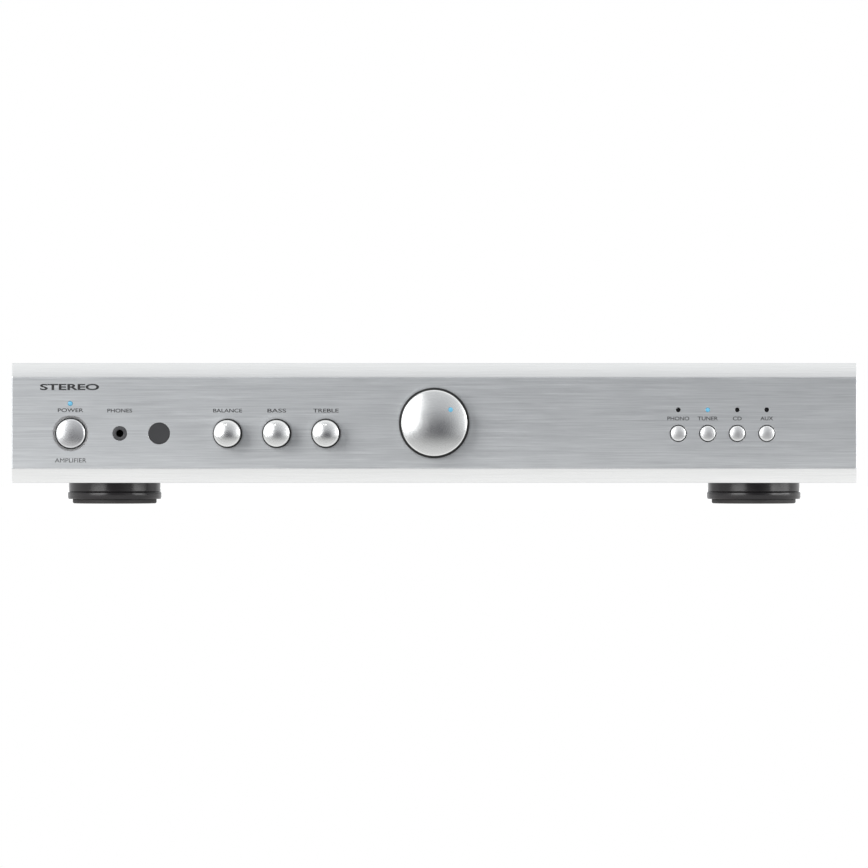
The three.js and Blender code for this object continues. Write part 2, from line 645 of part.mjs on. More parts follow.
const capacitor = () =>
  turnedUpright(
    [
      [0, 0],
      [CAPACITOR.radius, 0],
      [CAPACITOR.radius, CAPACITOR.height - 1],
      [CAPACITOR.radius - 1, CAPACITOR.height],
      [0, CAPACITOR.height],
    ],
    16,
  );
["left", "right"].forEach((side, i) => {
  const place = [CAPACITOR.x, CAPACITOR.y[i], BOARD.z + 1.6 + GAP];
  piece(object, `${side}_reservoir_capacitor`, capacitor(), capacitorSleeve(), place);
});

// ---------- Feet: a hard drum with a rim, and a rubber pad under it ----------
const FOOT = { drum: 23.5, rim: 24.1, recess: 5.5 };
const FOOT_ROWS = { front: { x: 164.5, y: FACE_FRONT + 42 }, rear: { x: 174, y: REAR_FACE - 46 } };
const PAD = { radius: 21.6, bore: 8, height: 2.2 };
const RIM_TOP = 5.9;

const footBody = () =>
  turnedUpright([
    [FOOT.recess, PAD.height + 0.1],
    [FOOT.rim, PAD.height + 0.1],
    [FOOT.rim, RIM_TOP],
    [FOOT.drum, RIM_TOP],
    [FOOT.drum, CASE_BOTTOM - 0.1],
    [2, CASE_BOTTOM - 0.1],
    [2, 9],
    [FOOT.recess, 9],
    [FOOT.recess, PAD.height + 0.1],
  ]);

const footPad = () =>
  turnedUpright([
    [PAD.bore, 0],
    [PAD.radius, 0],
    [PAD.radius, PAD.height],
    [PAD.bore, PAD.height],
    [PAD.bore, 0],
  ]);

for (const [end, { x, y }] of Object.entries(FOOT_ROWS)) {
  for (const [side, sign] of [["left", -1], ["right", 1]]) {
    piece(object, `${end}_${side}_foot`, footBody(), blackPlastic(), [sign * x, y, 0]);
    piece(object, `${end}_${side}_foot_pad`, footPad(), rubber(), [sign * x, y, 0]);
  }
}

export default object;
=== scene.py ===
import math
import random

import bmesh
import bpy
from mathutils import Matrix, Vector


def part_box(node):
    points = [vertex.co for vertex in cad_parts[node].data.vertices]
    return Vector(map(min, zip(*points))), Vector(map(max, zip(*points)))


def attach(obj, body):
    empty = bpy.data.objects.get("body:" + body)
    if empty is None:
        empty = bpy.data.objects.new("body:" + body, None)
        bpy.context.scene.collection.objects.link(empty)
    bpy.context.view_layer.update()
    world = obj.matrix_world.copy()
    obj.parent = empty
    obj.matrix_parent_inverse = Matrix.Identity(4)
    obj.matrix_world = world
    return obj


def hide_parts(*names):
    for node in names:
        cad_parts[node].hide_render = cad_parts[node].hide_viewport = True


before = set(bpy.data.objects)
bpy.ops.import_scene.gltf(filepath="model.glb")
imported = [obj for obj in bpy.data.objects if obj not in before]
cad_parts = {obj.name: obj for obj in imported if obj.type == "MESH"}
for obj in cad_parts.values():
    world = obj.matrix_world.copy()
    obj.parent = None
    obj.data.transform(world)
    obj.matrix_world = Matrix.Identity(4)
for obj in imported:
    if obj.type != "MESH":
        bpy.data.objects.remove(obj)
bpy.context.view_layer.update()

mm = 0.001


# ---------- Studio ----------
# A glowing white table top in a white surround, a large soft light at the left and a small one
# close by at the right. The surround is darker behind the camera and below it, so that flat metal
# facing the camera reads as mid grey.
studio = bpy.context.scene
studio.view_settings.view_transform = "Standard"
face_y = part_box("front_panel")[0].y
eye = Vector((-0.1 * mm, face_y - 3.5, 35.7 * mm))

lens = bpy.data.cameras.new("camera")
lens.lens = 285.3
lens.clip_end = 60
camera = bpy.data.objects.new("camera", lens)
camera.location = eye
camera.rotation_euler = (math.radians(90), 0, 0)
studio.collection.objects.link(camera)
studio.camera = camera


def wire(tree, kind, inputs=None, **settings):
    """Adds a node to a tree. Each input takes a plain value or another node's output."""
    made = tree.nodes.new(kind)
    for name, value in settings.items():
        setattr(made, name, value)
    for name, value in (inputs or {}).items():
        if isinstance(value, bpy.types.NodeSocket):
            tree.links.new(value, made.inputs[name])
        else:
            made.inputs[name].default_value = value
    return made


def surround_patch(tree, direction, towards, edge, core):
    """1 where the direction is near towards, falling to 0. edge and core are angles in degrees."""
    facing = wire(tree, "ShaderNodeVectorMath", {0: direction, 1: Vector(towards).normalized()},
                  operation="DOT_PRODUCT")
    patch = wire(tree, "ShaderNodeMapRange", {"Value": facing.outputs["Value"],
                                              "From Min": math.cos(math.radians(edge)),
                                              "From Max": math.cos(math.radians(core))},
                 interpolation_type="SMOOTHSTEP")
    return patch.outputs["Result"]


surround = bpy.data.worlds.new("surround")
studio.world = surround
surround.use_nodes = True
sky = surround.node_tree
direction = wire(sky, "ShaderNodeTexCoord").outputs["Generated"]
camera_side = surround_patch(sky, direction, (-0.12, -1, 0.02), 62, 15)
below_camera = surround_patch(sky, direction, (0.05, -1, -0.24), 32, 6)
white, pale, dark = (0.98, 0.99, 1.0, 1), (0.45, 0.46, 0.48, 1), (0.07, 0.07, 0.08, 1)
shaded = wire(sky, "ShaderNodeMix", {"Factor": camera_side}, data_type="RGBA")
shaded.inputs[6].default_value = white
shaded.inputs[7].default_value = pale
deeper = wire(sky, "ShaderNodeMix", {"Factor": below_camera}, data_type="RGBA")
sky.links.new(shaded.outputs[2], deeper.inputs[6])
deeper.inputs[7].default_value = dark
seen = wire(sky, "ShaderNodeMix", {"Factor": wire(sky, "ShaderNodeLightPath").outputs["Is Camera Ray"]},
            data_type="RGBA")
sky.links.new(deeper.outputs[2], seen.inputs[6])
seen.inputs[7].default_value = (1, 1, 1, 1)
sky.links.new(seen.outputs[2], sky.nodes["Background"].inputs["Color"])


def softbox(name, azimuth, elevation, distance, width, height, brightness):
    """A rectangular light aimed at the object. Azimuth is degrees right of the camera's line."""
    light = bpy.data.lights.new(name, "AREA")
    light.shape = "RECTANGLE"
    light.size, light.size_y = width, height
    light.energy = brightness * math.pi * width * height
    lamp = bpy.data.objects.new(name, light)
    turn, rise = math.radians(azimuth), math.radians(elevation)
    from_object = Vector((math.sin(turn) * math.cos(rise), -math.cos(turn) * math.cos(rise), math.sin(rise)))
    lamp.location = Vector((0, face_y, 0.04)) + distance * from_object
    lamp.rotation_euler = (-from_object).to_track_quat("-Z", "Y").to_euler()
    studio.collection.objects.link(lamp)


softbox("key_light", -41, 14, 4.5, 3.0, 3.0, 5.0)
softbox("fill_light", 72, 8, 1.2, 1.1, 0.5, 4.6)

table_top = bpy.data.materials.new("table_top")
table_top.use_nodes = True
table_shader = table_top.node_tree.nodes["Principled BSDF"]
table_shader.inputs["Base Color"].default_value = (0.12, 0.12, 0.12, 1)
table_shader.inputs["Roughness"].default_value = 0.9
table_shader.inputs["Emission Color"].default_value = (1, 1, 1, 1)
front_edge = face_y - 0.13
table_tree = table_top.node_tree
depth_in = wire(table_tree, "ShaderNodeSeparateXYZ",
                {"Vector": wire(table_tree, "ShaderNodeTexCoord").outputs["Object"]}).outputs["Y"]
glow_in = wire(table_tree, "ShaderNodeMapRange", {"Value": depth_in, "From Min": front_edge,
                                                  "From Max": face_y, "To Min": 0.0, "To Max": 0.88})
seen_by_camera = wire(table_tree, "ShaderNodeLightPath").outputs["Is Camera Ray"]
glow = wire(table_tree, "ShaderNodeMix", {"Factor": seen_by_camera, "A": glow_in.outputs["Result"], "B": 1.0})
table_tree.links.new(glow.outputs[0], table_shader.inputs["Emission Strength"])
table_mesh = bpy.data.meshes.new("table")
table_work = bmesh.new()
bmesh.ops.create_grid(table_work, x_segments=1, y_segments=1, size=1)
bmesh.ops.scale(table_work, vec=(0.9, 0.6, 1), verts=table_work.verts)
bmesh.ops.translate(table_work, vec=(0, 0.6 + front_edge, 0), verts=table_work.verts)
table_work.to_mesh(table_mesh)
table_work.free()
table_mesh.materials.append(table_top)
table = bpy.data.objects.new("table", table_mesh)
studio.collection.objects.link(table)


# ---------- Base tray ----------
# Zinc-plated steel sheet, punched with vents under the heatsink and folded up along both sides.
# Everything else is screwed to it.
def folded_sheet(corners, near, far, thickness, bend):
    """Sheet bent at the inner corners of a line of (x, z) points, and drawn out from near to far."""
    sheet = bmesh.new()
    line = [sheet.verts.new((x, near, z)) for x, z in corners]
    for pair in zip(line, line[1:]):
        sheet.edges.new(pair)
    bmesh.ops.bevel(sheet, geom=line[1:-1], offset=bend, segments=6, profile=0.5,
                    affect="VERTICES", material=-1)
    drawn = bmesh.ops.extrude_edge_only(sheet, edges=sheet.edges[:])["geom"]
    moved = [part for part in drawn if isinstance(part, bmesh.types.BMVert)]
    bmesh.ops.translate(sheet, verts=moved, vec=(0, far - near, 0))
    bmesh.ops.recalc_face_normals(sheet, faces=sheet.faces)
    bmesh.ops.solidify(sheet, geom=sheet.faces[:], thickness=thickness)
    return sheet


def slab(low, high, corner=0.0, segments=2, only=None):
    """A block between two corners in metres. Its edges, or only those along one axis, are rounded
    by corner millimetres."""
    shape = bmesh.new()
    bmesh.ops.create_cube(shape, size=1)
    low, high = Vector(low), Vector(high)
    bmesh.ops.scale(shape, vec=high - low, verts=shape.verts)
    bmesh.ops.translate(shape, vec=(low + high) / 2, verts=shape.verts)
    if corner:
        run = {"X": 0, "Y": 1, "Z": 2}.get(only)
        edges = [e for e in shape.edges
                 if run is None or abs((e.verts[0].co - e.verts[1].co).normalized()[run]) > 0.9]
        bmesh.ops.bevel(shape, geom=edges, offset=corner * mm, segments=segments, profile=0.5,
                        affect="EDGES", material=-1)
    return shape


def joined(*shapes):
    """Several shapes as one."""
    whole = bmesh.new()
    for shape in shapes:
        scrap = bpy.data.meshes.new("scrap")
        shape.to_mesh(scrap)
        shape.free()
        whole.from_mesh(scrap)
        bpy.data.meshes.remove(scrap)
    return whole


def carved(work, *tools, operation="DIFFERENCE"):
    """The work with the tools' shapes cut out of it."""
    tool = joined(*tools)
    pair = []
    for label, shape in (("work", work), ("tool", tool)):
        bmesh.ops.recalc_face_normals(shape, faces=shape.faces)
        pair.append(bpy.data.objects.new(label, bpy.data.meshes.new(label)))
        shape.to_mesh(pair[-1].data)
        shape.free()
        studio.collection.objects.link(pair[-1])
    cut = pair[0].modifiers.new("cut", "BOOLEAN")
    cut.operation = operation
    cut.solver = "EXACT"
    cut.object = pair[1]
    result = bmesh.new()
    result.from_object(pair[0], bpy.context.evaluated_depsgraph_get())
    for scrap in pair:
        bpy.data.objects.remove(scrap)
    return result


def scored(shape, cuts):
    """The shape with its faces divided along planes, each given as a point and a direction."""
    for through, across in cuts:
        bmesh.ops.bisect_plane(shape, geom=shape.verts[:] + shape.edges[:] + shape.faces[:], dist=0.0001 * mm,
                               plane_co=through, plane_no=across)
    return shape


def vented(shape, banks, low_z, high_z):
    """The shape punched with banks of round-ended slots, 3 mm wide and 8 mm apart, run front to back."""
    width, pitch = 3 * mm, 8 * mm
    cuts, punches = [], []
    for middle_x, middle_y, columns, rows, length in banks:
        left = middle_x - columns * pitch / 2
        near = middle_y - rows * (length + pitch) / 2
        cuts += [(Vector((left + column * pitch, 0, 0)), (1, 0, 0)) for column in range(columns + 1)]
        cuts += [(Vector((0, near + row * (length + pitch), 0)), (0, 1, 0)) for row in range(rows + 1)]
        for row in range(rows):
            for column in range(columns):
                x = left + (column + 0.5) * pitch
                y = near + (row + 0.5) * (length + pitch)
                punches.append(slab((x - width / 2, y - length / 2, low_z),
                                    (x + width / 2, y + length / 2, high_z),
                                    corner=0.499 * width / mm, segments=4, only="Z"))
    return carved(scored(shape, cuts), *punches)


def as_piece(shape, name, finish, body="case", stands_for=(), smooth_below=24):
    """Makes a worked shape a piece of the object, in its finish, riding on its body."""
    bmesh.ops.remove_doubles(shape, verts=shape.verts, dist=0.0005 * mm)
    bmesh.ops.recalc_face_normals(shape, faces=shape.faces)
    for edge in shape.edges:
        areas = sorted(face.calc_area() for face in edge.link_faces)
        even = len(areas) == 2 and areas[1] < 40 * areas[0]
        edge.smooth = even and edge.calc_face_angle(0) < math.radians(smooth_below)
    for face in shape.faces:
        face.smooth = True
    mesh = bpy.data.meshes.new(name)
    shape.to_mesh(mesh)
    shape.free()
    for each in finish if isinstance(finish, (list, tuple)) else [finish]:
        mesh.materials.append(each)
    piece = bpy.data.objects.new(name, mesh)
    studio.collection.objects.link(piece)
    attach(piece, body)
    if stands_for:
        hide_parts(*stands_for)
    return piece


def effect_group(name, inputs, outputs):
    """A node group of one surface effect, with its input and output nodes."""
    group = bpy.data.node_groups.new(name, "ShaderNodeTree")
    for label, default in inputs.items():
        kind = "NodeSocketFloat" if isinstance(default, (int, float)) else "NodeSocketVector"
        socket = group.interface.new_socket(label, in_out="INPUT", socket_type=kind)
        socket.default_value = default
    for label in outputs:
        group.interface.new_socket(label, in_out="OUTPUT", socket_type="NodeSocketFloat")
    return group, group.nodes.new("NodeGroupInput").outputs, group.nodes.new("NodeGroupOutput").inputs


grain, given, put_out = effect_group("grain", {"Vector": (0, 0, 0), "Size": 0.001}, ["Relief", "Mottle"])
fineness = wire(grain, "ShaderNodeMath", {0: 1, 1: given["Size"]}, operation="DIVIDE").outputs[0]
pimples = wire(grain, "ShaderNodeTexNoise", {"Vector": given["Vector"], "Scale": fineness, "Detail": 2})
coarseness = wire(grain, "ShaderNodeMath", {0: fineness, 1: 0.03}, operation="MULTIPLY").outputs[0]
clouds = wire(grain, "ShaderNodeTexNoise", {"Vector": given["Vector"], "Scale": coarseness, "Detail": 4})
grain.links.new(pimples.outputs["Fac"], put_out["Relief"])
grain.links.new(clouds.outputs["Fac"], put_out["Mottle"])


def object_coordinates(tree, location=(0, 0, 0), rotation=(0, 0, 0)):
    """The piece's own coordinates, moved so that location is their origin, then turned."""
    placed = wire(tree, "ShaderNodeMapping", {
        "Vector": wire(tree, "ShaderNodeTexCoord").outputs["Object"],
        "Location": [-c for c in location]})
    if not any(rotation):
        return placed.outputs["Vector"]
    turned_round = wire(tree, "ShaderNodeMapping", {"Vector": placed.outputs["Vector"], "Rotation": rotation})
    return turned_round.outputs["Vector"]


def effect(tree, group, **inputs):
    """Places an effect group in a finish, and gives its outputs."""
    placed = wire(tree, "ShaderNodeGroup", node_tree=group)
    for name, value in inputs.items():
        if isinstance(value, bpy.types.NodeSocket):
            tree.links.new(value, placed.inputs[name])
        else:
            placed.inputs[name].default_value = value
    return placed.outputs


def between(tree, value, low, high, from_low=0.3, from_high=0.7):
    """Spreads a noise value over a range of plain numbers."""
    spread = wire(tree, "ShaderNodeMapRange", {"Value": value, "From Min": from_low, "From Max": from_high,
                                               "To Min": low, "To Max": high})
    return spread.outputs["Result"]


def tinted(tree, value, first, second, from_low=0.3, from_high=0.7):
    """A colour that runs from first to second as the value rises."""
    ramp = wire(tree, "ShaderNodeMix", {"Factor": between(tree, value, 0, 1, from_low, from_high)},
                data_type="RGBA")
    ramp.inputs[6].default_value = (*first, 1)
    ramp.inputs[7].default_value = (*second, 1)
    return ramp.outputs[2]


def new_finish(name, metallic=0.0):
    """An empty finish with its node tree and shader."""
    finish = bpy.data.materials.new(name)
    finish.use_nodes = True
    shader = finish.node_tree.nodes["Principled BSDF"]
    shader.inputs["Metallic"].default_value = metallic
    return finish, finish.node_tree, shader


def relieved(tree, shader, height, depth):
    """Gives a finish its fine relief. depth is in metres."""
    bump = wire(tree, "ShaderNodeBump", {"Height": height, "Distance": depth, "Strength": 1.0})
    tree.links.new(bump.outputs["Normal"], shader.inputs["Normal"])


def grained_finish(name, first, second, metallic, smooth, rough, size, depth, gloss=0.5):
    """A coat, casting or moulding: clouded between two colours, with fine pimples of a size and
    depth in millimetres."""
    finish, tree, shader = new_finish(name, metallic)
    shader.inputs["Specular IOR Level"].default_value = gloss
    skin = effect(tree, grain, Vector=object_coordinates(tree), Size=size * mm)
    tree.links.new(tinted(tree, skin["Mottle"], first, second), shader.inputs["Base Color"])
    tree.links.new(between(tree, skin["Mottle"], smooth, rough), shader.inputs["Roughness"])
    relieved(tree, shader, skin["Relief"], depth * mm)
    return finish


zinc_plate = grained_finish("zinc_plate", (0.56, 0.58, 0.60), (0.66, 0.67, 0.68), 1.0, 0.30, 0.42,
                            0.5, 0.004)
sheet = 1.2 * mm
low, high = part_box("chassis_base")
tray = folded_sheet([(low.x, high.z), (low.x, low.z), (high.x, low.z), (high.x, high.z)],
                    low.y, high.y, sheet, bend=1.8 * mm)
tray = vented(tray, [(20 * mm, 50 * mm, 10, 1, 70 * mm)], low.z - 2 * mm, low.z + 4 * mm)
as_piece(tray, "base_tray", zinc_plate, stands_for=["chassis_base"])


# ---------- Feet ----------
# Hard black drums with a wider rim, moulded hollow for the screw that holds each to the tray,
# and a ring of soft rubber glued under the rim.
def turned(profile, centre=(0, 0, 0), axis="Y", steps=64, corner=0.0):
    """A shape turned on a lathe through the centre, which is in metres. Its profile is points of
    radius and distance along the axis, and corner eases its sharp ones: both in millimetres."""
    outward, along = {"X": ((0, 1, 0), (1, 0, 0)), "Y": ((1, 0, 0), (0, 1, 0)),
                      "Z": ((1, 0, 0), (0, 0, 1))}[axis]
    outward, along, centre = Vector(outward), Vector(along), Vector(centre)
    closes = profile[0] == profile[-1]
    outline = profile[:-1] if closes else profile
    points = [centre + outward * (r * mm) + along * (a * mm) for r, a in outline]
    shape = bmesh.new()
    line = [shape.verts.new(point) for point in points]
    for pair in zip(line, line[1:]):
        shape.edges.new(pair)
    if closes:
        shape.edges.new((line[-1], line[0]))
    if corner:
        sharp = []
        for i, vert in enumerate(line):
            before, after = points[i - 1], points[(i + 1) % len(points)]
            inside = closes or 0 < i < len(line) - 1
            if inside and (points[i] - before).angle(after - points[i]) > math.radians(25):
                sharp.append(vert)
        bmesh.ops.bevel(shape, geom=sharp, offset=corner * mm, segments=3, profile=0.5, clamp_overlap=True,
                        affect="VERTICES", material=-1)
    bmesh.ops.spin(shape, geom=shape.verts[:] + shape.edges[:], cent=centre, axis=along, dvec=(0, 0, 0),
                   angle=math.tau, steps=steps, use_merge=True)
    bmesh.ops.remove_doubles(shape, verts=shape.verts, dist=0.001 * mm)
    bmesh.ops.recalc_face_normals(shape, faces=shape.faces)
    return shape


def middle_of(node):
    """The middle of the box round a node of the frame."""
    low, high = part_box(node)
    return (low + high) / 2


foot_plastic = grained_finish("foot_plastic", (0.006, 0.005, 0.006), (0.014, 0.011, 0.012), 0.0, 0.20, 0.32,
                              0.7, 0.006)
foot_rubber = grained_finish("foot_rubber", (0.018, 0.016, 0.016), (0.034, 0.031, 0.030), 0.0, 0.55, 0.75,
                             0.4, 0.012)


def cross_head_screw(middle, axis, way, radius, height, recess=True):
    """A pan-head screw's head seen from outside. way is 1 or -1 along the axis."""
    dome = [(0, height * way), (radius * 0.45, height * 0.97 * way), (radius * 0.8, height * 0.75 * way),
            (radius, height * 0.3 * way), (radius, 0), (0, 0)]
    head = turned(dome, middle, axis, steps=20)
    if not recess:
        return head
    across = {"X": ("Y", "Z"), "Y": ("X", "Z"), "Z": ("X", "Y")}[axis]
    reach, blade = radius * 0.62, radius * 0.13
    places = []
    for long_way in across:
        half = Vector([0.5 * height if name == axis else reach if name == long_way else blade
                       for name in "XYZ"]) * mm
        top = Vector(middle) + Vector([height * way if name == axis else 0 for name in "XYZ"]) * mm
        places.append(slab(top - half, top + half))
    head = carved(head, places[0])
    return carved(head, places[1])


screw_plate = grained_finish("screw_plate", (0.50, 0.50, 0.50), (0.62, 0.62, 0.61), 1.0, 0.22, 0.34,
                             0.3, 0.002)
foot_screws = []
for name in ("front_left_foot", "front_right_foot", "rear_left_foot", "rear_right_foot"):
    middle = middle_of(name)
    seat, top = 2.3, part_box(name)[1].z / mm
    drum = turned([(5.5, seat), (23.7, seat), (24.1, seat + 0.9), (24.1, 5.6),
                   (23.5, 5.9), (23.2, 6.15), (23.5, 6.4), (23.5, top),
                   (2, top), (2, 9), (5.5, 9), (5.5, seat)],
                  (middle.x, middle.y, 0), "Z", steps=96, corner=0.12)
    as_piece(drum, name + "_drum", foot_plastic, stands_for=[name])
    pad = turned([(8, 0), (21, 0), (21.6, 0.5), (21.6, 2.2),
                  (8, 2.2), (8, 0)],
                 (middle.x, middle.y, 0), "Z", steps=72, corner=0.2)
    as_piece(pad, name + "_rubber", foot_rubber, stands_for=[name + "_pad"])
    foot_screws.append(cross_head_screw((middle.x, middle.y, 8.95 * mm), "Z", -1, 4, 2.2))
as_piece(joined(*foot_screws), "foot_screws", screw_plate)


# ---------- Faceplate ----------
# A thick aluminium extrusion, brushed end to end, with a band milled back along its top and
# bottom. The holes are drilled through, and the one for the power button is countersunk.
lines, given, put_out = effect_group("drawn_lines", {"Vector": (0, 0, 0), "Length": 0.1, "Width": 0.001},
                                     ["Lines"])
per_length = wire(lines, "ShaderNodeMath", {0: 1, 1: given["Length"]}, operation="DIVIDE").outputs[0]
per_width = wire(lines, "ShaderNodeMath", {0: 1, 1: given["Width"]}, operation="DIVIDE").outputs[0]
stretch = wire(lines, "ShaderNodeCombineXYZ", {"X": per_length, "Y": per_width, "Z": per_width})
stretched = wire(lines, "ShaderNodeVectorMath", {0: given["Vector"], 1: stretch.outputs[0]},
                 operation="MULTIPLY")
streaks = wire(lines, "ShaderNodeTexNoise", {"Vector": stretched.outputs[0], "Scale": 1, "Detail": 5,
                                             "Roughness": 0.65})
lines.links.new(streaks.outputs["Fac"], put_out["Lines"])


def brushed_finish(name, first, second, smooth, rough, anisotropy, depth):
    """Metal brushed along X: long soft streaks under fine scratches."""
    finish, tree, shader = new_finish(name, 1.0)
    coordinates = object_coordinates(tree)
    broad = effect(tree, lines, Vector=coordinates, Length=45 * mm, Width=0.8 * mm)["Lines"]
    fine = effect(tree, lines, Vector=coordinates, Length=14 * mm, Width=0.24 * mm)["Lines"]
    both = wire(tree, "ShaderNodeMath", {0: broad, 1: fine}, operation="ADD").outputs[0]
    tree.links.new(tinted(tree, both, first, second, 0.7, 1.3), shader.inputs["Base Color"])
    tree.links.new(between(tree, both, smooth, rough, 0.7, 1.3), shader.inputs["Roughness"])
    relieved(tree, shader, fine, depth * mm)
    shader.inputs["Anisotropic"].default_value = anisotropy
    shader.inputs["Anisotropic Rotation"].default_value = 0.25
    return finish


rings, given, put_out = effect_group("turning_marks", {"Vector": (0, 0, 0), "Spacing": 0.001}, ["Rings"])
split = wire(rings, "ShaderNodeSeparateXYZ", {"Vector": given["Vector"]})
flat = wire(rings, "ShaderNodeCombineXYZ", {"X": split.outputs["X"], "Z": split.outputs["Z"]})
radius = wire(rings, "ShaderNodeVectorMath", {0: flat.outputs[0]}, operation="LENGTH").outputs["Value"]
turn_count = wire(rings, "ShaderNodeMath", {0: radius, 1: given["Spacing"]}, operation="DIVIDE").outputs[0]
marks = wire(rings, "ShaderNodeTexNoise", {"W": turn_count, "Scale": 1, "Detail": 3}, noise_dimensions="1D")
rings.links.new(marks.outputs["Fac"], put_out["Rings"])


def turned_finish(name, middle, first, second, smooth, rough, spacing, depth):
    """Metal turned about an axis front to back through middle, with the tool's fine rings."""
    finish, tree, shader = new_finish(name, 1.0)
    ring = effect(tree, rings, Vector=object_coordinates(tree, middle), Spacing=spacing * mm)["Rings"]
    cloud = effect(tree, grain, Vector=object_coordinates(tree), Size=0.3 * mm)["Mottle"]
    tree.links.new(tinted(tree, ring, first, second), shader.inputs["Base Color"])
    both = wire(tree, "ShaderNodeMath", {0: ring, 1: cloud}, operation="ADD").outputs[0]
    tree.links.new(between(tree, both, smooth, rough, 0.7, 1.3), shader.inputs["Roughness"])
    relieved(tree, shader, ring, depth * mm)
    return finish


def drill(x, z, radius, near, far, flare=0.0, steps=48):
    """A drill bit run along Y from near to far, which eases its hole's front edge by the flare.
    Its radius and flare are in millimetres."""
    length = (far - near) / mm
    edge = [(radius + flare, -1), (radius + flare, 0), (radius, flare)] if flare else [(radius, -1)]
    return turned([(0, -1), *edge, (radius, length), (0, length)], (x, near, z), "Y", steps)


SOURCES = ("phono", "tuner", "cd", "aux")
TONES = ("balance", "bass", "treble")
power = middle_of("power_button")
volume = middle_of("volume_knob")
low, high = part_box("front_panel")
band, fall = 7.2 * mm, 3.5 * mm
plate = slab(low, high)
for edge, way in ((high.z, 1), (low.z, -1)):
    bmesh.ops.bisect_plane(plate, geom=plate.verts[:] + plate.edges[:] + plate.faces[:], dist=0.0001 * mm,
                           plane_co=(0, low.y, edge - way * band), plane_no=(0, -band, way * fall),
                           clear_outer=True)
    bmesh.ops.holes_fill(plate, edges=[e for e in plate.edges if e.is_boundary], sides=0)
bmesh.ops.bevel(plate, geom=plate.edges[:], offset=0.35 * mm, segments=3, profile=0.5,
                affect="EDGES", material=-1)
controls = ["power_button", "headphone_socket", "infrared_window", *(tone + "_knob_hub" for tone in TONES),
            "volume_knob", *(source + "_button" for source in SOURCES)]
columns = [middle_of(node).x for node in controls]
score_lines = [(Vector(((left + right) / 2, 0, 0)), (1, 0, 0)) for left, right in zip(columns, columns[1:])]
score_lines.append((Vector((0, 0, low.z + 35.2 * mm)), (0, 0, 1)))
plate = scored(plate, score_lines)
back = high.y + 1 * mm
through = (back - low.y) / mm
countersink_radius, countersink_depth = 9.15, 1.25
bits = [turned([(0, -1), (countersink_radius, -1), (countersink_radius, 0), (7.85, countersink_depth),
                (7.75, through), (0, through)], (power.x, low.y, power.z), "Y", 96, corner=0.08)]
for node, radius in (("headphone_socket", 3.6), ("infrared_window", 5.55), ("power_lamp", 1.2)):
    place = middle_of(node)
    bits.append(drill(place.x, place.z, radius, low.y, back, 0.15))
bits.append(drill(volume.x, volume.z, 4.2, low.y, back))
for tone in TONES:
    place = middle_of(tone + "_knob_hub")
    bits.append(drill(place.x, place.z, 3.8, low.y, back))
lamp_z = middle_of("source_light_pipe").z
for source in SOURCES:
    place = middle_of(source + "_button")
    bits.append(drill(place.x, place.z, 4.35, low.y, back, 0.12, 64))
    bits.append(drill(place.x, lamp_z, 1.2, low.y, back, 0.1, 32))
plate = carved(plate, *bits)
plate.normal_update()
face_slot, band_slot, countersink_slot = 0, 1, 2
for facet in plate.faces:
    heart = facet.calc_center_median()
    from_power = math.hypot(heart.x - power.x, heart.z - power.z)
    facing_out = abs(facet.normal.y) >= 0.98
    sloping = 0.2 < abs(facet.normal.z) < 0.6
    facet.material_index = face_slot
    if from_power < (countersink_radius + 0.15) * mm and not facing_out:
        facet.material_index = countersink_slot
    elif sloping and heart.y < low.y + fall:
        facet.material_index = band_slot
face_finish = brushed_finish("brushed_face", (0.54, 0.555, 0.565), (0.70, 0.715, 0.725), 0.42, 0.48,
                             0.15, 0.006)
band_finish = brushed_finish("milled_band", (0.80, 0.805, 0.80), (0.88, 0.885, 0.88), 0.22, 0.28, 0.2, 0.003)
countersink = turned_finish("countersink", power, (0.60, 0.60, 0.60), (0.78, 0.78, 0.78), 0.32, 0.40,
                            0.12, 0.002)
as_piece(plate, "faceplate", [face_finish, band_finish, countersink],
         stands_for=["front_panel"])


# ---------- Front printing ----------
# The names of the controls, screen-printed on the brushed face in ink that is nearly black.
def lettering(text, middle, width, height, facing=-1, weight=0.0):
    """Flat letters fitted to a width and a height in millimetres, read from the front or, facing 1,
    the back."""
    drawing = bpy.data.curves.new("letters", "FONT")
    drawing.body = text
    drawing.extrude = 0.5
    drawing.offset = weight
    sheet_of_letters = bpy.data.objects.new("letters", drawing)
    studio.collection.objects.link(sheet_of_letters)
    bpy.context.view_layer.update()
    shape = bmesh.new()
    shape.from_mesh(bpy.data.meshes.new_from_object(
        sheet_of_letters.evaluated_get(bpy.context.evaluated_depsgraph_get())))
    bpy.data.objects.remove(sheet_of_letters)
    left, right = min(v.co.x for v in shape.verts), max(v.co.x for v in shape.verts)
    foot, head = min(v.co.y for v in shape.verts), max(v.co.y for v in shape.verts)
    bmesh.ops.translate(shape, vec=(-(left + right) / 2, -(foot + head) / 2, 0), verts=shape.verts)
    bmesh.ops.scale(shape, verts=shape.verts,
                    vec=(width * mm / (right - left), height * mm / (head - foot), 0.03 * mm))
    stand = Matrix.Rotation(math.radians(90), 3, "X")
    turn = Matrix.Rotation(0 if facing < 0 else math.pi, 3, "Z")
    bmesh.ops.rotate(shape, cent=(0, 0, 0), matrix=turn @ stand, verts=shape.verts)
    bmesh.ops.translate(shape, vec=middle, verts=shape.verts)
    return shape


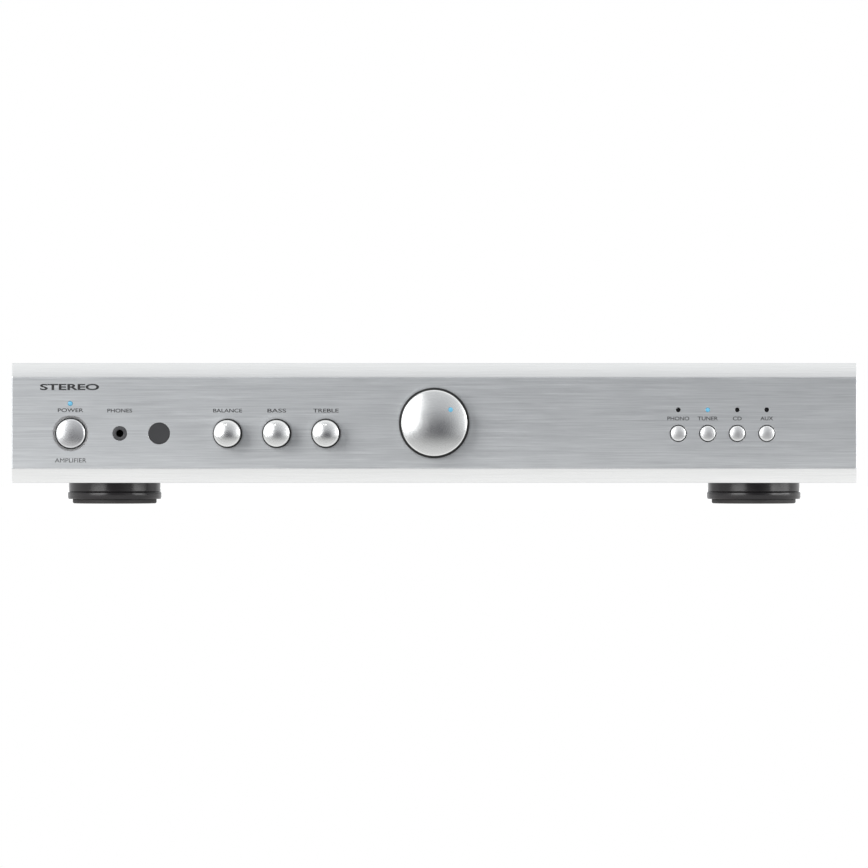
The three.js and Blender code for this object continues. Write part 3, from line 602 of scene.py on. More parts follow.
print_ink = grained_finish("print_ink", (0.012, 0.012, 0.013), (0.024, 0.024, 0.026), 0.0, 0.45, 0.60,
                           0.2, 0.002)
label_height = 1.9
face_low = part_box("front_panel")[0]
words = [lettering("STEREO", (power.x - 0.5 * mm, face_y, face_low.z + 48.8 * mm), 30, 3.2, weight=0.03),
         lettering("AMPLIFIER", (power.x, face_y, face_low.z + 11.5 * mm), 16, 2.1)]
over_knob, over_button = 11.6, 7.6
labels = [("POWER", "power_button", 13, 11.8), ("PHONES", "headphone_socket", 12.6, over_knob),
          ("BALANCE", "balance_knob_hub", 14.7, over_knob), ("BASS", "bass_knob_hub", 9.5, over_knob),
          ("TREBLE", "treble_knob_hub", 13, over_knob), ("PHONO", "phono_button", 11.1, over_button),
          ("TUNER", "tuner_button", 10.3, over_button), ("CD", "cd_button", 4.5, over_button),
          ("AUX", "aux_button", 6.4, over_button)]
for text, node, width, above in labels:
    place = middle_of(node)
    words.append(lettering(text, (place.x, face_y, place.z + above * mm), width, label_height, weight=0.012))
as_piece(joined(*words), "front_printing", print_ink, smooth_below=30)


# ---------- Tone knobs ----------
# Turned and clear-anodised aluminium caps with a domed face and a small drilled dimple that
# points. Each is pressed on a black moulded hub, whose skirt shows as a dark ring.
def dome_ball(radius, rise):
    """The radius of the ball that a shallow dome is part of."""
    return (radius ** 2 + rise ** 2) / (2 * rise)


def dome_profile(radius, rise, crown, steps=14):
    """Points of a shallow dome, from its crown on the axis out to its rim."""
    ball = dome_ball(radius, rise)
    return [(radius * i / steps, crown + ball - math.sqrt(ball ** 2 - (radius * i / steps) ** 2))
            for i in range(steps + 1)]


cap_rim = 0.45


def knob_cap(middle, radius, reach, rise, bore, steps):
    """A knob's aluminium cup: domed face, bright eased rim, straight side and a bore behind."""
    wall, back = 2.2, -2.0
    face = dome_profile(radius - cap_rim, rise, -reach)
    return turned(face + [(radius, rise + cap_rim - reach), (radius, back), (bore, back),
                          (bore, rise + wall - reach), (0, rise + wall - reach)],
                  (middle.x, face_y, middle.z), "Y", steps, corner=0.12)


def knob_hub(middle, skirt, boss, front, steps):
    """A knob's black hub: the boss in the cap, the skirt behind it, and the shaft's hole."""
    shaft_hole = 3.15
    return turned([(0, front), (boss, front), (boss, -1.9), (skirt, -1.9), (skirt, -0.4),
                   (shaft_hole, -0.4), (shaft_hole, front + 2), (0, front + 2)],
                  (middle.x, face_y, middle.z), "Y", steps, corner=0.15)


hub_plastic = grained_finish("hub_plastic", (0.004, 0.004, 0.004), (0.009, 0.009, 0.009), 0.0, 0.45, 0.6,
                             0.3, 0.006)
shaft_steel = grained_finish("shaft_steel", (0.50, 0.51, 0.52), (0.60, 0.60, 0.61), 1.0, 0.18, 0.28,
                             0.2, 0.002)
tone_rest = {"balance": -9, "bass": -13, "treble": -3}
dimple_out, dimple_front, dimple_radius = 4.7 * mm, 12.9 * mm, 1.0 * mm
for tone in TONES:
    middle = middle_of(tone + "_knob_hub")
    body = tone + "_control"
    cap = knob_cap(middle, 6.7, 13, 1.5, 5.2, 96)
    clock = math.radians(tone_rest[tone])
    dimple = bmesh.new()
    bmesh.ops.create_uvsphere(dimple, u_segments=24, v_segments=16, radius=dimple_radius)
    bmesh.ops.translate(dimple, verts=dimple.verts,
                        vec=(middle.x + dimple_out * math.sin(clock), face_y - dimple_front,
                             middle.z + dimple_out * math.cos(clock)))
    finish = turned_finish(tone + "_cap", middle, (0.80, 0.81, 0.80), (0.90, 0.905, 0.90), 0.23, 0.30,
                           0.14, 0.0012)
    as_piece(carved(cap, dimple), tone + "_cap", finish, body, [tone + "_knob"])
    as_piece(knob_hub(middle, 7.5, 5, -9.2, 72), tone + "_hub", hub_plastic,
             body, [tone + "_knob_hub"])
    shaft_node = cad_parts[tone + "_shaft"]
    shaft_node.data.materials.clear()
    shaft_node.data.materials.append(shaft_steel)


# ---------- Volume knob ----------
# The same construction, larger, with a pale blue light guide let into the cap as its pointer.
middle = volume
cap_radius, cap_reach, cap_rise = 16.7, 14.5, 2.6
clock, marker_radius, marker_out = math.radians(51), 1.15, 10.7
marker_at = middle + marker_out * mm * Vector((math.sin(clock), 0, math.cos(clock)))
cap = knob_cap(middle, cap_radius, cap_reach, cap_rise, 11.2, 160)
cap = carved(cap, drill(marker_at.x, marker_at.z, marker_radius + 0.06, face_y - 15 * mm,
                        face_y - 10.5 * mm))
volume_finish = turned_finish("volume_cap", middle, (0.80, 0.81, 0.80), (0.90, 0.905, 0.90), 0.23, 0.30,
                              0.16, 0.0012)
as_piece(cap, "volume_cap", volume_finish, "volume_control", ["volume_knob"])
as_piece(knob_hub(middle, 17.95, 11, -9.6, 128), "volume_hub", hub_plastic,
         "volume_control", ["volume_knob_hub"])


def lit_lens(name, colour, glow, deep):
    """A translucent coloured lens, brighter at its middle grain."""
    finish, tree, shader = new_finish(name)
    skin = effect(tree, grain, Vector=object_coordinates(tree), Size=0.4 * mm)
    tree.links.new(tinted(tree, skin["Relief"], deep, colour), shader.inputs["Base Color"])
    tree.links.new(tinted(tree, skin["Relief"], deep, colour), shader.inputs["Emission Color"])
    tree.links.new(between(tree, skin["Mottle"], 0.18, 0.3), shader.inputs["Roughness"])
    shader.inputs["Emission Strength"].default_value = glow
    return finish


blue_guide = lit_lens("blue_guide", (0.14, 0.42, 0.60), 0.22, (0.11, 0.35, 0.52))
ball = dome_ball(cap_radius - cap_rim, cap_rise)
marker_face = ball - math.sqrt(ball ** 2 - marker_out ** 2) - cap_reach
marker = turned(dome_profile(marker_radius - 0.1, 0.15, marker_face - 0.15, 5)
                + [(marker_radius, marker_face + 0.15), (marker_radius, marker_face + 3.3),
                   (0, marker_face + 3.3)], (marker_at.x, face_y, marker_at.z), "Y", 32)
as_piece(marker, "volume_pointer", blue_guide, "volume_control", ["volume_knob_marker"])
shaft_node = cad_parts["volume_shaft"]
shaft_node.data.materials.clear()
shaft_node.data.materials.append(shaft_steel)


# ---------- Power button ----------
# A turned aluminium button in the countersink. Its flange is caught behind the sub-panel, and
# its stem works the mains switch.
middle = power
flange_front, flange_back, stem_end = 10.8, 12, 28
button = turned(dome_profile(6.85, 0.75, -1.8) +
                [(7.35, -0.55), (7.35, flange_front), (8.8, flange_front),
                 (8.8, flange_back), (2.2, flange_back), (2.2, stem_end), (0, stem_end)],
                (middle.x, face_y, middle.z), "Y", 96, corner=0.12)
power_finish = turned_finish("power_cap", middle, (0.74, 0.745, 0.75), (0.84, 0.845, 0.85), 0.26, 0.34,
                             0.14, 0.0015)
as_piece(button, "power_cap", power_finish, "power_button", ["power_button"])


# ---------- Source buttons ----------
# Four small turned buttons, each shaped and caught in the same way as the power button.
for source in SOURCES:
    middle = middle_of(source + "_button")
    button = turned(dome_profile(3.4, 0.45, -1.4, 10) +
                    [(3.88, -0.45), (3.88, 10.8), (5.05, 10.8), (5.05, 12),
                     (2, 12), (2, 14), (0, 14)],
                    (middle.x, face_y, middle.z), "Y", 64, corner=0.1)
    finish = turned_finish(source + "_cap", middle, (0.80, 0.805, 0.80), (0.90, 0.90, 0.90), 0.32, 0.38,
                           0.12, 0.0015)
    as_piece(button, source + "_cap", finish, source + "_button", [source + "_button"])


# ---------- Lamps, light guide and remote control window ----------
# A domed blue lens over the power button, a smoked comb that brings light to the four holes
# over the source buttons, the chosen one lit, and a smoked disc over the remote receiver.
middle = middle_of("power_lamp")
lens_shape = turned([(0, -0.3), (0.55, -0.25), (0.95, -0.05), (1.12, 0.3),
                     (1.12, 16), (0, 16)], (middle.x, face_y, middle.z), "Y", 32)
as_piece(lens_shape, "power_light", blue_guide, stands_for=["power_lamp"])

smoked = grained_finish("smoked_guide", (0.002, 0.002, 0.003), (0.005, 0.005, 0.006), 0.0, 0.5, 0.65,
                        0.3, 0.003, gloss=0.15)
low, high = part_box("source_light_pipe")
teeth = [slab((low.x, low.y + 12.4 * mm, low.z), high, 0.6)]
for source in SOURCES:
    at = middle_of(source + "_button").x
    front = 0.9 if source == "tuner" else 0.5
    teeth.append(turned([(0, front), (1.0, front), (1.12, front + 0.12), (1.12, 12.9),
                         (0, 12.9)], (at, face_y, lamp_z), "Y", 24))
as_piece(joined(*teeth), "light_comb", smoked, stands_for=["source_light_pipe"])
at = middle_of("tuner_button").x
tuner_lens = turned([(0, 0.12), (1.0, 0.2), (1.12, 0.4), (1.12, 0.85),
                     (0, 0.85)], (at, face_y, lamp_z), "Y", 32)
as_piece(tuner_lens, "tuner_light", blue_guide)

window_finish = grained_finish("smoked_window", (0.036, 0.036, 0.038), (0.042, 0.042, 0.044), 0.0, 0.40, 0.50,
                               0.6, 0.001, gloss=0.3)
middle = middle_of("infrared_window")
window = turned([(0, 0.15), (5.2, 0.15), (5.5, 0.4), (5.5, 12), (0, 12)],
                (middle.x, face_y, middle.z), "Y", 72, corner=0.08)
as_piece(window, "remote_window", window_finish, stands_for=["infrared_window"])


# ---------- Headphone socket ----------
# A 3.5 mm jack moulded in dark grey plastic, with a rounded collar in the faceplate.
socket_plastic = grained_finish("socket_plastic", (0.040, 0.040, 0.043), (0.060, 0.060, 0.064), 0.0,
                                0.35, 0.5, 0.3, 0.004)
middle = middle_of("headphone_socket")
low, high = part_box("headphone_socket")
collar = turned([(1.8, 0.2), (2.1, -0.3), (3.2, -0.3), (3.5, 0), (3.5, 11),
                 (1.8, 11), (1.8, 0.2)], (middle.x, face_y, middle.z), "Y", 64, corner=0.1)
jack_body = carved(slab((low.x, face_y + 10.8 * mm, low.z), high, 0.5),
                   drill(middle.x, middle.z, 1.85, face_y + 10 * mm, face_y + 22 * mm))
as_piece(joined(collar, jack_body), "headphone_jack", socket_plastic,
         stands_for=["headphone_socket"])


# ---------- Inner front panel ----------
# Zinc-plated sheet behind the faceplate. It carries the sockets and controls, and its holes
# catch the flanges of the push buttons.
low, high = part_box("front_subpanel")
clear = {"power_button": 7.75, "headphone_socket": 3.85, "infrared_window": 5.8, "power_lamp": 1.45,
         "volume_knob": 5.8, **{tone + "_knob_hub": 4.3 for tone in TONES},
         **{source + "_button": 4.35 for source in SOURCES}}
punches = [drill(middle_of(node).x, middle_of(node).z, radius, low.y, high.y + 1 * mm)
           for node, radius in clear.items()]
punches += [drill(middle_of(source + "_button").x, lamp_z, 1.45, low.y, high.y + 1 * mm, steps=24)
            for source in SOURCES]
inner_panel = scored(slab(low, high, 1.5, 3, only="Y"), score_lines)
as_piece(carved(inner_panel, *punches), "inner_front_panel", zinc_plate,
         stands_for=["front_subpanel"])
screw_columns, screw_rows = (-208, -95, 60, 208), (19, 64)
panel_screws = [cross_head_screw((x * mm, high.y - 0.02 * mm, z * mm), "Y", 1, 2.6, 1.5)
                for x in screw_columns for z in screw_rows]
as_piece(joined(*panel_screws), "front_panel_screws", screw_plate)


# ---------- Mains switch ----------
# A black latching switch behind the power button, with two brass tags at its back.
def lug(middle, low_off, high_off):
    """A small flat solder tag beside a middle point."""
    return slab(Vector(middle) + Vector(low_off) * mm, Vector(middle) + Vector(high_off) * mm, 0.12)


black_moulding = grained_finish("black_moulding", (0.010, 0.010, 0.011), (0.020, 0.020, 0.022), 0.0,
                                0.32, 0.48, 0.5, 0.008)
brass = grained_finish("tinned_brass", (0.62, 0.55, 0.42), (0.72, 0.66, 0.55), 1.0, 0.25, 0.4, 0.3, 0.003)
low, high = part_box("power_switch")
middle = middle_of("power_switch")
switch_case = carved(slab(low, (high.x, high.y - 3 * mm, high.z), 0.7, 3),
                     drill(middle.x, middle.z, 2.6, low.y, low.y + 8 * mm))
as_piece(switch_case, "mains_switch", black_moulding, stands_for=["power_switch"])
tags = [lug((middle.x, high.y, middle.z), (x - 1.6, -3.2, z - 0.3), (x + 1.6, 0, z + 0.3))
        for x in (-4, 4) for z in (-3.5, 3.5)]
as_piece(joined(*tags), "mains_switch_tags", brass)


# ---------- Tone controls' board ----------
# Three potentiometers with threaded bushes and hexagon nuts, soldered to one upright board.
def threaded(radius, from_y, to_y, middle, bore):
    """A tube with fine thread grooves, along Y from middle."""
    pitch, groove = 0.75, 0.3
    turns = int((to_y - from_y) / pitch)
    profile = [(bore, from_y)]
    for i in range(turns):
        start = from_y + (to_y - from_y) * i / turns
        profile += [(radius - groove, start), (radius, start + (to_y - from_y) / turns / 2)]
    return turned(profile + [(radius - groove, to_y), (bore, to_y), (bore, from_y)], middle, "Y", 32)


def hexagon(radius, from_y, to_y, middle, bore):
    """A hexagon nut along Y from middle."""
    return turned([(bore, from_y), (radius - 0.4, from_y), (radius, from_y + 0.3),
                   (radius, to_y - 0.3), (radius - 0.4, to_y), (bore, to_y), (bore, from_y)],
                  middle, "Y", 6)


def circuit_finish(name):
    """Green lacquer over copper tracks, which show as slightly paler, raised lines."""
    finish, tree, shader = new_finish(name)
    coordinates = object_coordinates(tree)
    tracks = wire(tree, "ShaderNodeTexBrick", {"Vector": coordinates, "Scale": 120, "Mortar Size": 0.012,
                                               "Color1": (0.008, 0.075, 0.03, 1),
                                               "Color2": (0.012, 0.10, 0.04, 1),
                                               "Mortar": (0.016, 0.13, 0.055, 1)})
    skin = effect(tree, grain, Vector=coordinates, Size=0.6 * mm)
    tree.links.new(tracks.outputs["Color"], shader.inputs["Base Color"])
    tree.links.new(between(tree, skin["Mottle"], 0.22, 0.34), shader.inputs["Roughness"])
    relieved(tree, shader, tracks.outputs["Fac"], 0.02 * mm)
    return finish


lacquer = circuit_finish("green_lacquer")
low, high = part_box("tone_board")
board_front = high.y - 1.6 * mm
board = slab((low.x, board_front, low.z), high, 0.25)
as_piece(board, "tone_circuit_board", lacquer, stands_for=["tone_board"])
pots, nuts, lugs = [], [], []
pot_front = face_y + 12.7 * mm
bush_end, nut_from, nut_to = 12.75, 10.6, 12.5
for tone in TONES:
    middle = middle_of(tone + "_knob_hub")
    at = (middle.x, face_y, middle.z)
    body = slab((middle.x - 8.4 * mm, pot_front, middle.z - 8.9 * mm),
                (middle.x + 8.4 * mm, board_front - 0.05 * mm, middle.z + 8.9 * mm), 1, 3)
    pots.append(carved(body, drill(middle.x, middle.z, 3.15, pot_front, pot_front + 8 * mm)))
    pots.append(threaded(3.7, 9.2, bush_end, at, 3.12))
    nuts.append(hexagon(5.4, nut_from, nut_to, at, 3.72))
    lugs += [lug((middle.x, high.y, middle.z), (x - 0.4, 0, -7.2), (x + 0.4, 1.2, -6.4)) for x in (-5, 0, 5)]
as_piece(joined(*pots), "tone_pots", zinc_plate)
as_piece(joined(*nuts), "tone_pot_nuts", screw_plate)
as_piece(joined(*lugs), "tone_pot_joints", brass)


# ---------- Volume control and its motor ----------
# A large potentiometer with a hexagon nut, driven by the knob or, through a geared slip
# clutch, by a small can motor.
middle = middle_of("volume_shaft")
at = (middle.x, face_y, middle.z)
low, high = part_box("volume_pot")
body = slab((low.x, pot_front, low.z), high, 1.2, 3)
body = carved(body, drill(middle.x, middle.z, 3.15, pot_front, high.y - 2 * mm))
as_piece(joined(body, threaded(4.7, (low.y - face_y) / mm, bush_end, at, 3.12)),
         "volume_potentiometer", zinc_plate, stands_for=["volume_pot"])
as_piece(hexagon(7.4, nut_from, nut_to, at, 4.72), "volume_pot_nut", screw_plate)
low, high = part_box("volume_motor")
length = (high.y - low.y) / mm
gears = slab(low, (high.x, low.y + 7 * mm, high.z), 1.2, 3)
can = turned([(0, 6.9), (10, 6.9), (10, 25.5), (9, 27), (3, 27), (3, length), (0, length)],
             (middle.x, low.y, middle.z + 1 * mm), "Y", 64, corner=0.3)
as_piece(joined(gears, can), "volume_drive", zinc_plate, stands_for=["volume_motor"])


# ---------- Source switches' board ----------
# An upright board with a small push switch behind each source button.
low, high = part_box("control_board")
board_front = high.y - 1.6 * mm
as_piece(slab((low.x, board_front, low.z), high, 0.25), "source_circuit_board", lacquer,
         stands_for=["control_board"])
keys, plungers = [], []
for source in SOURCES:
    place = middle_of(source + "_button")
    keys.append(slab((place.x - 3 * mm, low.y + 1 * mm, place.z - 3 * mm),
                     (place.x + 3 * mm, board_front - 0.03 * mm, place.z + 3 * mm), 0.3))
    plungers.append(turned([(0, 0), (1.7, 0), (1.7, 1.1), (0, 1.1)], (place.x, low.y, place.z), "Y", 24,
                           corner=0.2))
as_piece(joined(*keys), "source_switches", black_moulding)
as_piece(joined(*plungers), "source_switch_plungers", brass)


# ---------- Power transformer ----------
# A toroid wound with copper and wrapped in amber film, whose overlaps show as spokes. A black
# dished plate and a bolt through the middle clamp it to the tray.
def wrapped_finish(name, middle, first, second, wraps):
    """Glossy film wrapped round a ring: the overlaps fan out from the middle."""
    finish, tree, shader = new_finish(name)
    coordinates = object_coordinates(tree, middle)
    apart = wire(tree, "ShaderNodeSeparateXYZ", {"Vector": coordinates})
    angle = wire(tree, "ShaderNodeMath", {0: apart.outputs["Y"], 1: apart.outputs["X"]}, operation="ARCTAN2")
    slanted = wire(tree, "ShaderNodeMath", {0: apart.outputs["Z"], 1: 12.0}, operation="MULTIPLY")
    skewed = wire(tree, "ShaderNodeMath", {0: angle.outputs[0], 1: slanted.outputs[0]}, operation="ADD")
    turns = wire(tree, "ShaderNodeMath", {0: skewed.outputs[0], 1: wraps / math.tau}, operation="MULTIPLY")
    step = wire(tree, "ShaderNodeMath", {0: turns.outputs[0]}, operation="FRACT").outputs[0]
    skin = effect(tree, grain, Vector=coordinates, Size=1.2 * mm)
    mixed = wire(tree, "ShaderNodeMath", {0: step, 1: skin["Mottle"]}, operation="ADD").outputs[0]
    tree.links.new(tinted(tree, mixed, first, second, 0.5, 1.5), shader.inputs["Base Color"])
    tree.links.new(between(tree, skin["Mottle"], 0.16, 0.28), shader.inputs["Roughness"])
    relieved(tree, shader, step, 0.15 * mm)
    shader.inputs["Coat Weight"].default_value = 0.4
    return finish


low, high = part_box("power_transformer")
middle = middle_of("power_transformer")
bolt_stands = 6
tall = (high.z - low.z) / mm - bolt_stands
foot, crown = (middle.x, middle.y, low.z), (middle.x, middle.y, high.z - bolt_stands * mm)
film = wrapped_finish("amber_film", (middle.x, middle.y, 0), (0.30, 0.11, 0.02), (0.52, 0.22, 0.05), 46)
toroid = turned([(17, 4), (20, 0), (45, 0), (49.8, 2), (52, 7), (52, tall - 7), (49.8, tall - 2),
                 (45, tall), (20, tall), (17, tall - 4), (17, 4)], foot, "Z", 128, corner=1.6)
as_piece(toroid, "toroid", film, stands_for=["power_transformer"])
black_steel = grained_finish("black_steel", (0.012, 0.012, 0.012), (0.022, 0.022, 0.022), 0.3, 0.35, 0.5,
                             0.4, 0.01)
clamp = turned([(4.2, 0.1), (14, 0.1), (20, 0.6), (30, 0.1), (30, 1.2), (20, 1.6), (14, 1.2),
                (4.2, 1.2), (4.2, 0.1)], crown, "Z", 96, corner=0.15)
as_piece(clamp, "transformer_clamp", black_steel)
bolt = turned([(0, 0), (4, 0), (4, tall + bolt_stands - 0.8), (3.2, tall + bolt_stands),
               (0, tall + bolt_stands)], foot, "Z", 32)
bolt_nut = turned([(4.1, 1.3), (7, 1.3), (7.4, 1.6), (7.4, 4.4), (7, 4.8), (4.1, 4.8), (4.1, 1.3)],
                  crown, "Z", 6)
as_piece(joined(bolt, bolt_nut), "transformer_bolt", screw_plate)


# ---------- Heatsink and output transistors ----------
# A black anodised extrusion with deep fins. Four flat power transistors are screwed to its
# spine, each over a pale insulating pad, with their legs bent down to the board.
anodised = grained_finish("black_anodised", (0.012, 0.012, 0.013), (0.024, 0.024, 0.026), 0.75, 0.34, 0.46,
                          0.3, 0.004)
low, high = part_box("heatsink")
spine = high.x - 6 * mm
comb = slab(low, high, 0.4, only="Z")
pitch, fin = 9 * mm, 2.4 * mm
count = round((high.y - low.y) / pitch)
gaps = []
for i in range(count + 1):
    start = low.y + i * pitch - pitch / 2 + fin / 2
    gap = slab((low.x - 2 * mm, start, low.z - 1 * mm), (spine, start + pitch - fin, high.z + 1 * mm),
               1.4, 3, only="Z")
    gaps.append(gap)
as_piece(carved(comb, *gaps), "fins", anodised, stands_for=["heatsink"])
device_places = (-12, 28, 72, 112)
packages, pads, device_screws, legs = [], [], [], []
for y in device_places:
    centre = Vector((high.x, y * mm, (low.z + high.z) / 2 - 2 * mm))
    pads.append(slab(centre + Vector((0.02, -9, -11.5)) * mm, centre + Vector((0.3, 9, 11.5)) * mm, 0.08))
    packages.append(slab(centre + Vector((0.32, -7.8, -10)) * mm, centre + Vector((5, 7.8, 10)) * mm, 0.7, 3))
    device_screws.append(cross_head_screw(centre + Vector((5, 0, 4)) * mm, "X", 1, 2.8, 1.6))
    for side in (-5.4, 0, 5.4):
        legs.append(slab(centre + Vector((2.2, side - 0.5, -17.3)) * mm,
                         centre + Vector((2.8, side + 0.5, -9.9)) * mm, 0.12))
as_piece(joined(*packages), "output_transistors", black_moulding)
mica = grained_finish("insulating_pads", (0.55, 0.56, 0.58), (0.68, 0.69, 0.70), 0.0, 0.5, 0.65, 0.4, 0.005)
as_piece(joined(*pads), "insulating_pads", mica)
as_piece(joined(*device_screws), "transistor_screws", screw_plate)
as_piece(joined(*legs), "transistor_legs", brass)


# ---------- Main board ----------
# The amplifier's board stands on four pillars. It is set out with small electrolytic and film
# capacitors, resistors, relays and connectors, all soldered through it.
low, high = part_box("main_board")
board_top, board_bottom = high.z, high.z - 1.6 * mm
board = slab((low.x, low.y, board_bottom), high, 0.25)
as_piece(board, "amplifier_board", lacquer, stands_for=["main_board"])
pillar_height = (board_bottom - low.z) / mm - 0.03
from_edge = 8 * mm
corners = [(x, y) for x in (low.x + from_edge, high.x - from_edge)
           for y in (low.y + from_edge, high.y - from_edge)]
pillars, pillar_screws = [], []
for x, y in corners:
    pillars.append(turned([(0, 0), (3, 0), (3, pillar_height), (0, pillar_height)], (x, y, low.z), "Z", 6,
                          corner=0.2))
    pillar_screws.append(cross_head_screw((x, y, board_top + 0.02 * mm), "Z", 1, 2.9, 1.7))
as_piece(joined(*pillars), "board_pillars", brass)
as_piece(joined(*pillar_screws), "board_screws", screw_plate)
chance = random.Random(7)
reservoir_reach, screw_reach = 17 * mm, 6 * mm
taken = [(66 * mm, -30 * mm, reservoir_reach), (66 * mm, 8 * mm, reservoir_reach)]
taken += [(x, y, screw_reach) for x, y in corners]


def free_place(reach):
    """A place on the board whose circle of that reach is still free."""
    for _ in range(400):
        x = chance.uniform(low.x + reach, high.x - reach)
        y = chance.uniform(low.y + reach, high.y - reach)
        if all(math.hypot(x - a, y - b) > reach + c for a, b, c in taken):
            taken.append((x, y, reach))
            return Vector((x, y, board_top + 0.03 * mm))
    return None


def sleeve_can(at, radius, height):
    """An electrolytic capacitor in its shrunk sleeve, crimped near the foot."""
    return turned([(0, 0), (radius - 0.3, 0), (radius, 0.6), (radius, 1.6),
                   (radius - 0.35, 2.2), (radius, 2.8), (radius, height - 0.5),
                   (radius - 0.5, height), (radius - 1, height - 0.15), (0, height - 0.15)],
                  at, "Z", 32)


relays, films, cans, resistors, headers = [], [], [], [], []
stock = [("relay", 3, 13), ("header", 5, 8), ("film", 14, 6), ("can", 16, 6), ("resistor", 40, 4)]
for kind, number, reach in stock:
    for _ in range(number):
        at = free_place(reach * mm)
        if at is None:
            continue
        if kind == "relay":
            relays.append(slab(at + Vector((-9, -7, 0)) * mm, at + Vector((9, 7, 17)) * mm, 0.8, 3))
        elif kind == "header":
            headers.append(slab(at + Vector((-6, -2.6, 0)) * mm, at + Vector((6, 2.6, 8)) * mm, 0.4))
        elif kind == "film":
            films.append(slab(at + Vector((-4.6, -2, 0.3)) * mm, at + Vector((4.6, 2, 8.5)) * mm, 0.9, 3))
        elif kind == "can":
            cans.append(sleeve_can(at, chance.choice((3.2, 4, 5)), chance.choice((9, 11, 14))))
        else:
            bead = turned([(0, -3.1), (0.95, -3.1), (1.25, -2.6), (1, -1.8),
                           (1, 1.8), (1.25, 2.6), (0.95, 3.1), (0, 3.1)],
                          at + Vector((0, 0, 1.3 * mm)), chance.choice(("X", "Y")), 16)
            resistors.append(bead)
sleeve = grained_finish("capacitor_sleeve", (0.012, 0.016, 0.05), (0.02, 0.026, 0.08), 0.0, 0.22, 0.34,
                        0.5, 0.004)
film_box = grained_finish("film_capacitor", (0.42, 0.05, 0.03), (0.50, 0.08, 0.04), 0.0, 0.3, 0.42,
                          0.5, 0.006)
relay_case = grained_finish("relay_case", (0.03, 0.10, 0.22), (0.04, 0.13, 0.28), 0.0, 0.2, 0.3, 0.8, 0.003)
header_case = grained_finish("connector_nylon", (0.70, 0.68, 0.60), (0.78, 0.76, 0.68), 0.0, 0.4, 0.55,
                             0.5, 0.005)
resistor_lacquer = grained_finish("resistor_lacquer", (0.18, 0.36, 0.48), (0.24, 0.44, 0.56), 0.0, 0.3, 0.45,
                                  0.3, 0.004)
for shapes, name, finish, slot in ((relays, "relays", relay_case, "switch_plastic"),
                                   (films, "film_capacitors", film_box, "red_plastic"),
                                   (cans, "small_capacitors", sleeve, "capacitor_sleeve"),
                                   (resistors, "resistors", resistor_lacquer, "capacitor_sleeve"),
                                   (headers, "board_connectors", header_case, "terminal_plastic")):
    as_piece(joined(*shapes), name, finish)


# ---------- Reservoir capacitors ----------
# Two large electrolytics in dark blue sleeves, with a bare aluminium top scored in a cross
# so that it can vent.
can_top = grained_finish("can_top", (0.66, 0.67, 0.68), (0.76, 0.77, 0.78), 1.0, 0.25, 0.36, 0.5, 0.003)
for side in ("left", "right"):
    low_can, high_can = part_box(side + "_reservoir_capacitor")
    at = middle_of(side + "_reservoir_capacitor")
    height = (high_can.z - low_can.z) / mm
    tub = turned([(0, 0), (14.6, 0), (15, 0.8), (15, 3), (14.4, 4),
                  (15, 5), (15, height - 1.2), (14.2, height - 0.1),
                  (12.8, height), (12.8, height - 0.5), (0, height - 0.5)],
                 (at.x, at.y, low_can.z), "Z", 72, corner=0.2)
    as_piece(tub, side + "_reservoir_sleeve", sleeve,
             stands_for=[side + "_reservoir_capacitor"])
    lid = turned([(0, 0.02), (12.6, 0.02), (12.6, 0.3), (0, 0.45)],
                 (at.x, at.y, high_can.z - 0.5 * mm), "Z", 48)
    crosses = [slab((at.x - x, at.y - y, high_can.z - 0.25 * mm), (at.x + x, at.y + y, high_can.z + 1 * mm))
               for x, y in ((9 * mm, 0.25 * mm), (0.25 * mm, 9 * mm))]
    as_piece(carved(carved(lid, crosses[0]), crosses[1]), side + "_reservoir_lid", can_top)


# ---------- Rear panel ----------
# Sheet steel painted silver grey like the cover, punched for every socket and screwed to the
# tray along its lower edge.
case_paint = grained_finish("case_paint", (0.40, 0.41, 0.42), (0.425, 0.435, 0.445), 0.45, 0.44, 0.48,
                            0.35, 0.02)
low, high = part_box("rear_panel")
rear_face = high.y
jack_rows = [32 * mm, 50 * mm]
input_columns = [178 * mm, 163 * mm, 148 * mm, 133 * mm]
preout = middle_of("preout_jacks").x
posts = ["left_negative", "left_positive", "right_negative", "right_positive"]
trigger, ground = middle_of("trigger_socket"), middle_of("ground_screw")
inlet = middle_of("mains_inlet")
back_sheet = slab(low, high, 1.2, 3, only="Y")
columns = [inlet.x, *(middle_of(post + "_nut").x for post in reversed(posts)), trigger.x, preout,
           *reversed(input_columns), ground.x]
cuts = [(Vector(((left + right) / 2, 0, 0)), (1, 0, 0)) for left, right in zip(columns, columns[1:])]
cuts.append((Vector((0, 0, 41 * mm)), (0, 0, 1)))
back_sheet = scored(back_sheet, cuts)
punches = [drill(x, z, 4.5, low.y, high.y + 1 * mm, steps=32)
           for x in (*input_columns, preout) for z in jack_rows]
punches.append(drill(trigger.x, trigger.z, 3.9, low.y, high.y + 1 * mm))
punches.append(drill(ground.x, ground.z, 2.3, low.y, high.y + 1 * mm))
punches += [drill(middle_of(post + "_nut").x, middle_of(post + "_nut").z, 5.2, low.y, high.y + 1 * mm)
            for post in posts]
punches.append(slab((inlet.x - 14.2 * mm, low.y - 1 * mm, inlet.z - 10.2 * mm),
                    (inlet.x + 14.2 * mm, high.y + 1 * mm, inlet.z + 10.2 * mm), 1, only="Y"))
as_piece(carved(back_sheet, *punches), "back_sheet", case_paint, stands_for=["rear_panel"])
rear_screws = [cross_head_screw((x * mm, rear_face + 0.02 * mm, 17 * mm), "Y", 1, 2.9, 0.95)
               for x in (-200, -110, 0, 110, 200)]
as_piece(joined(*rear_screws), "rear_panel_screws", screw_plate)
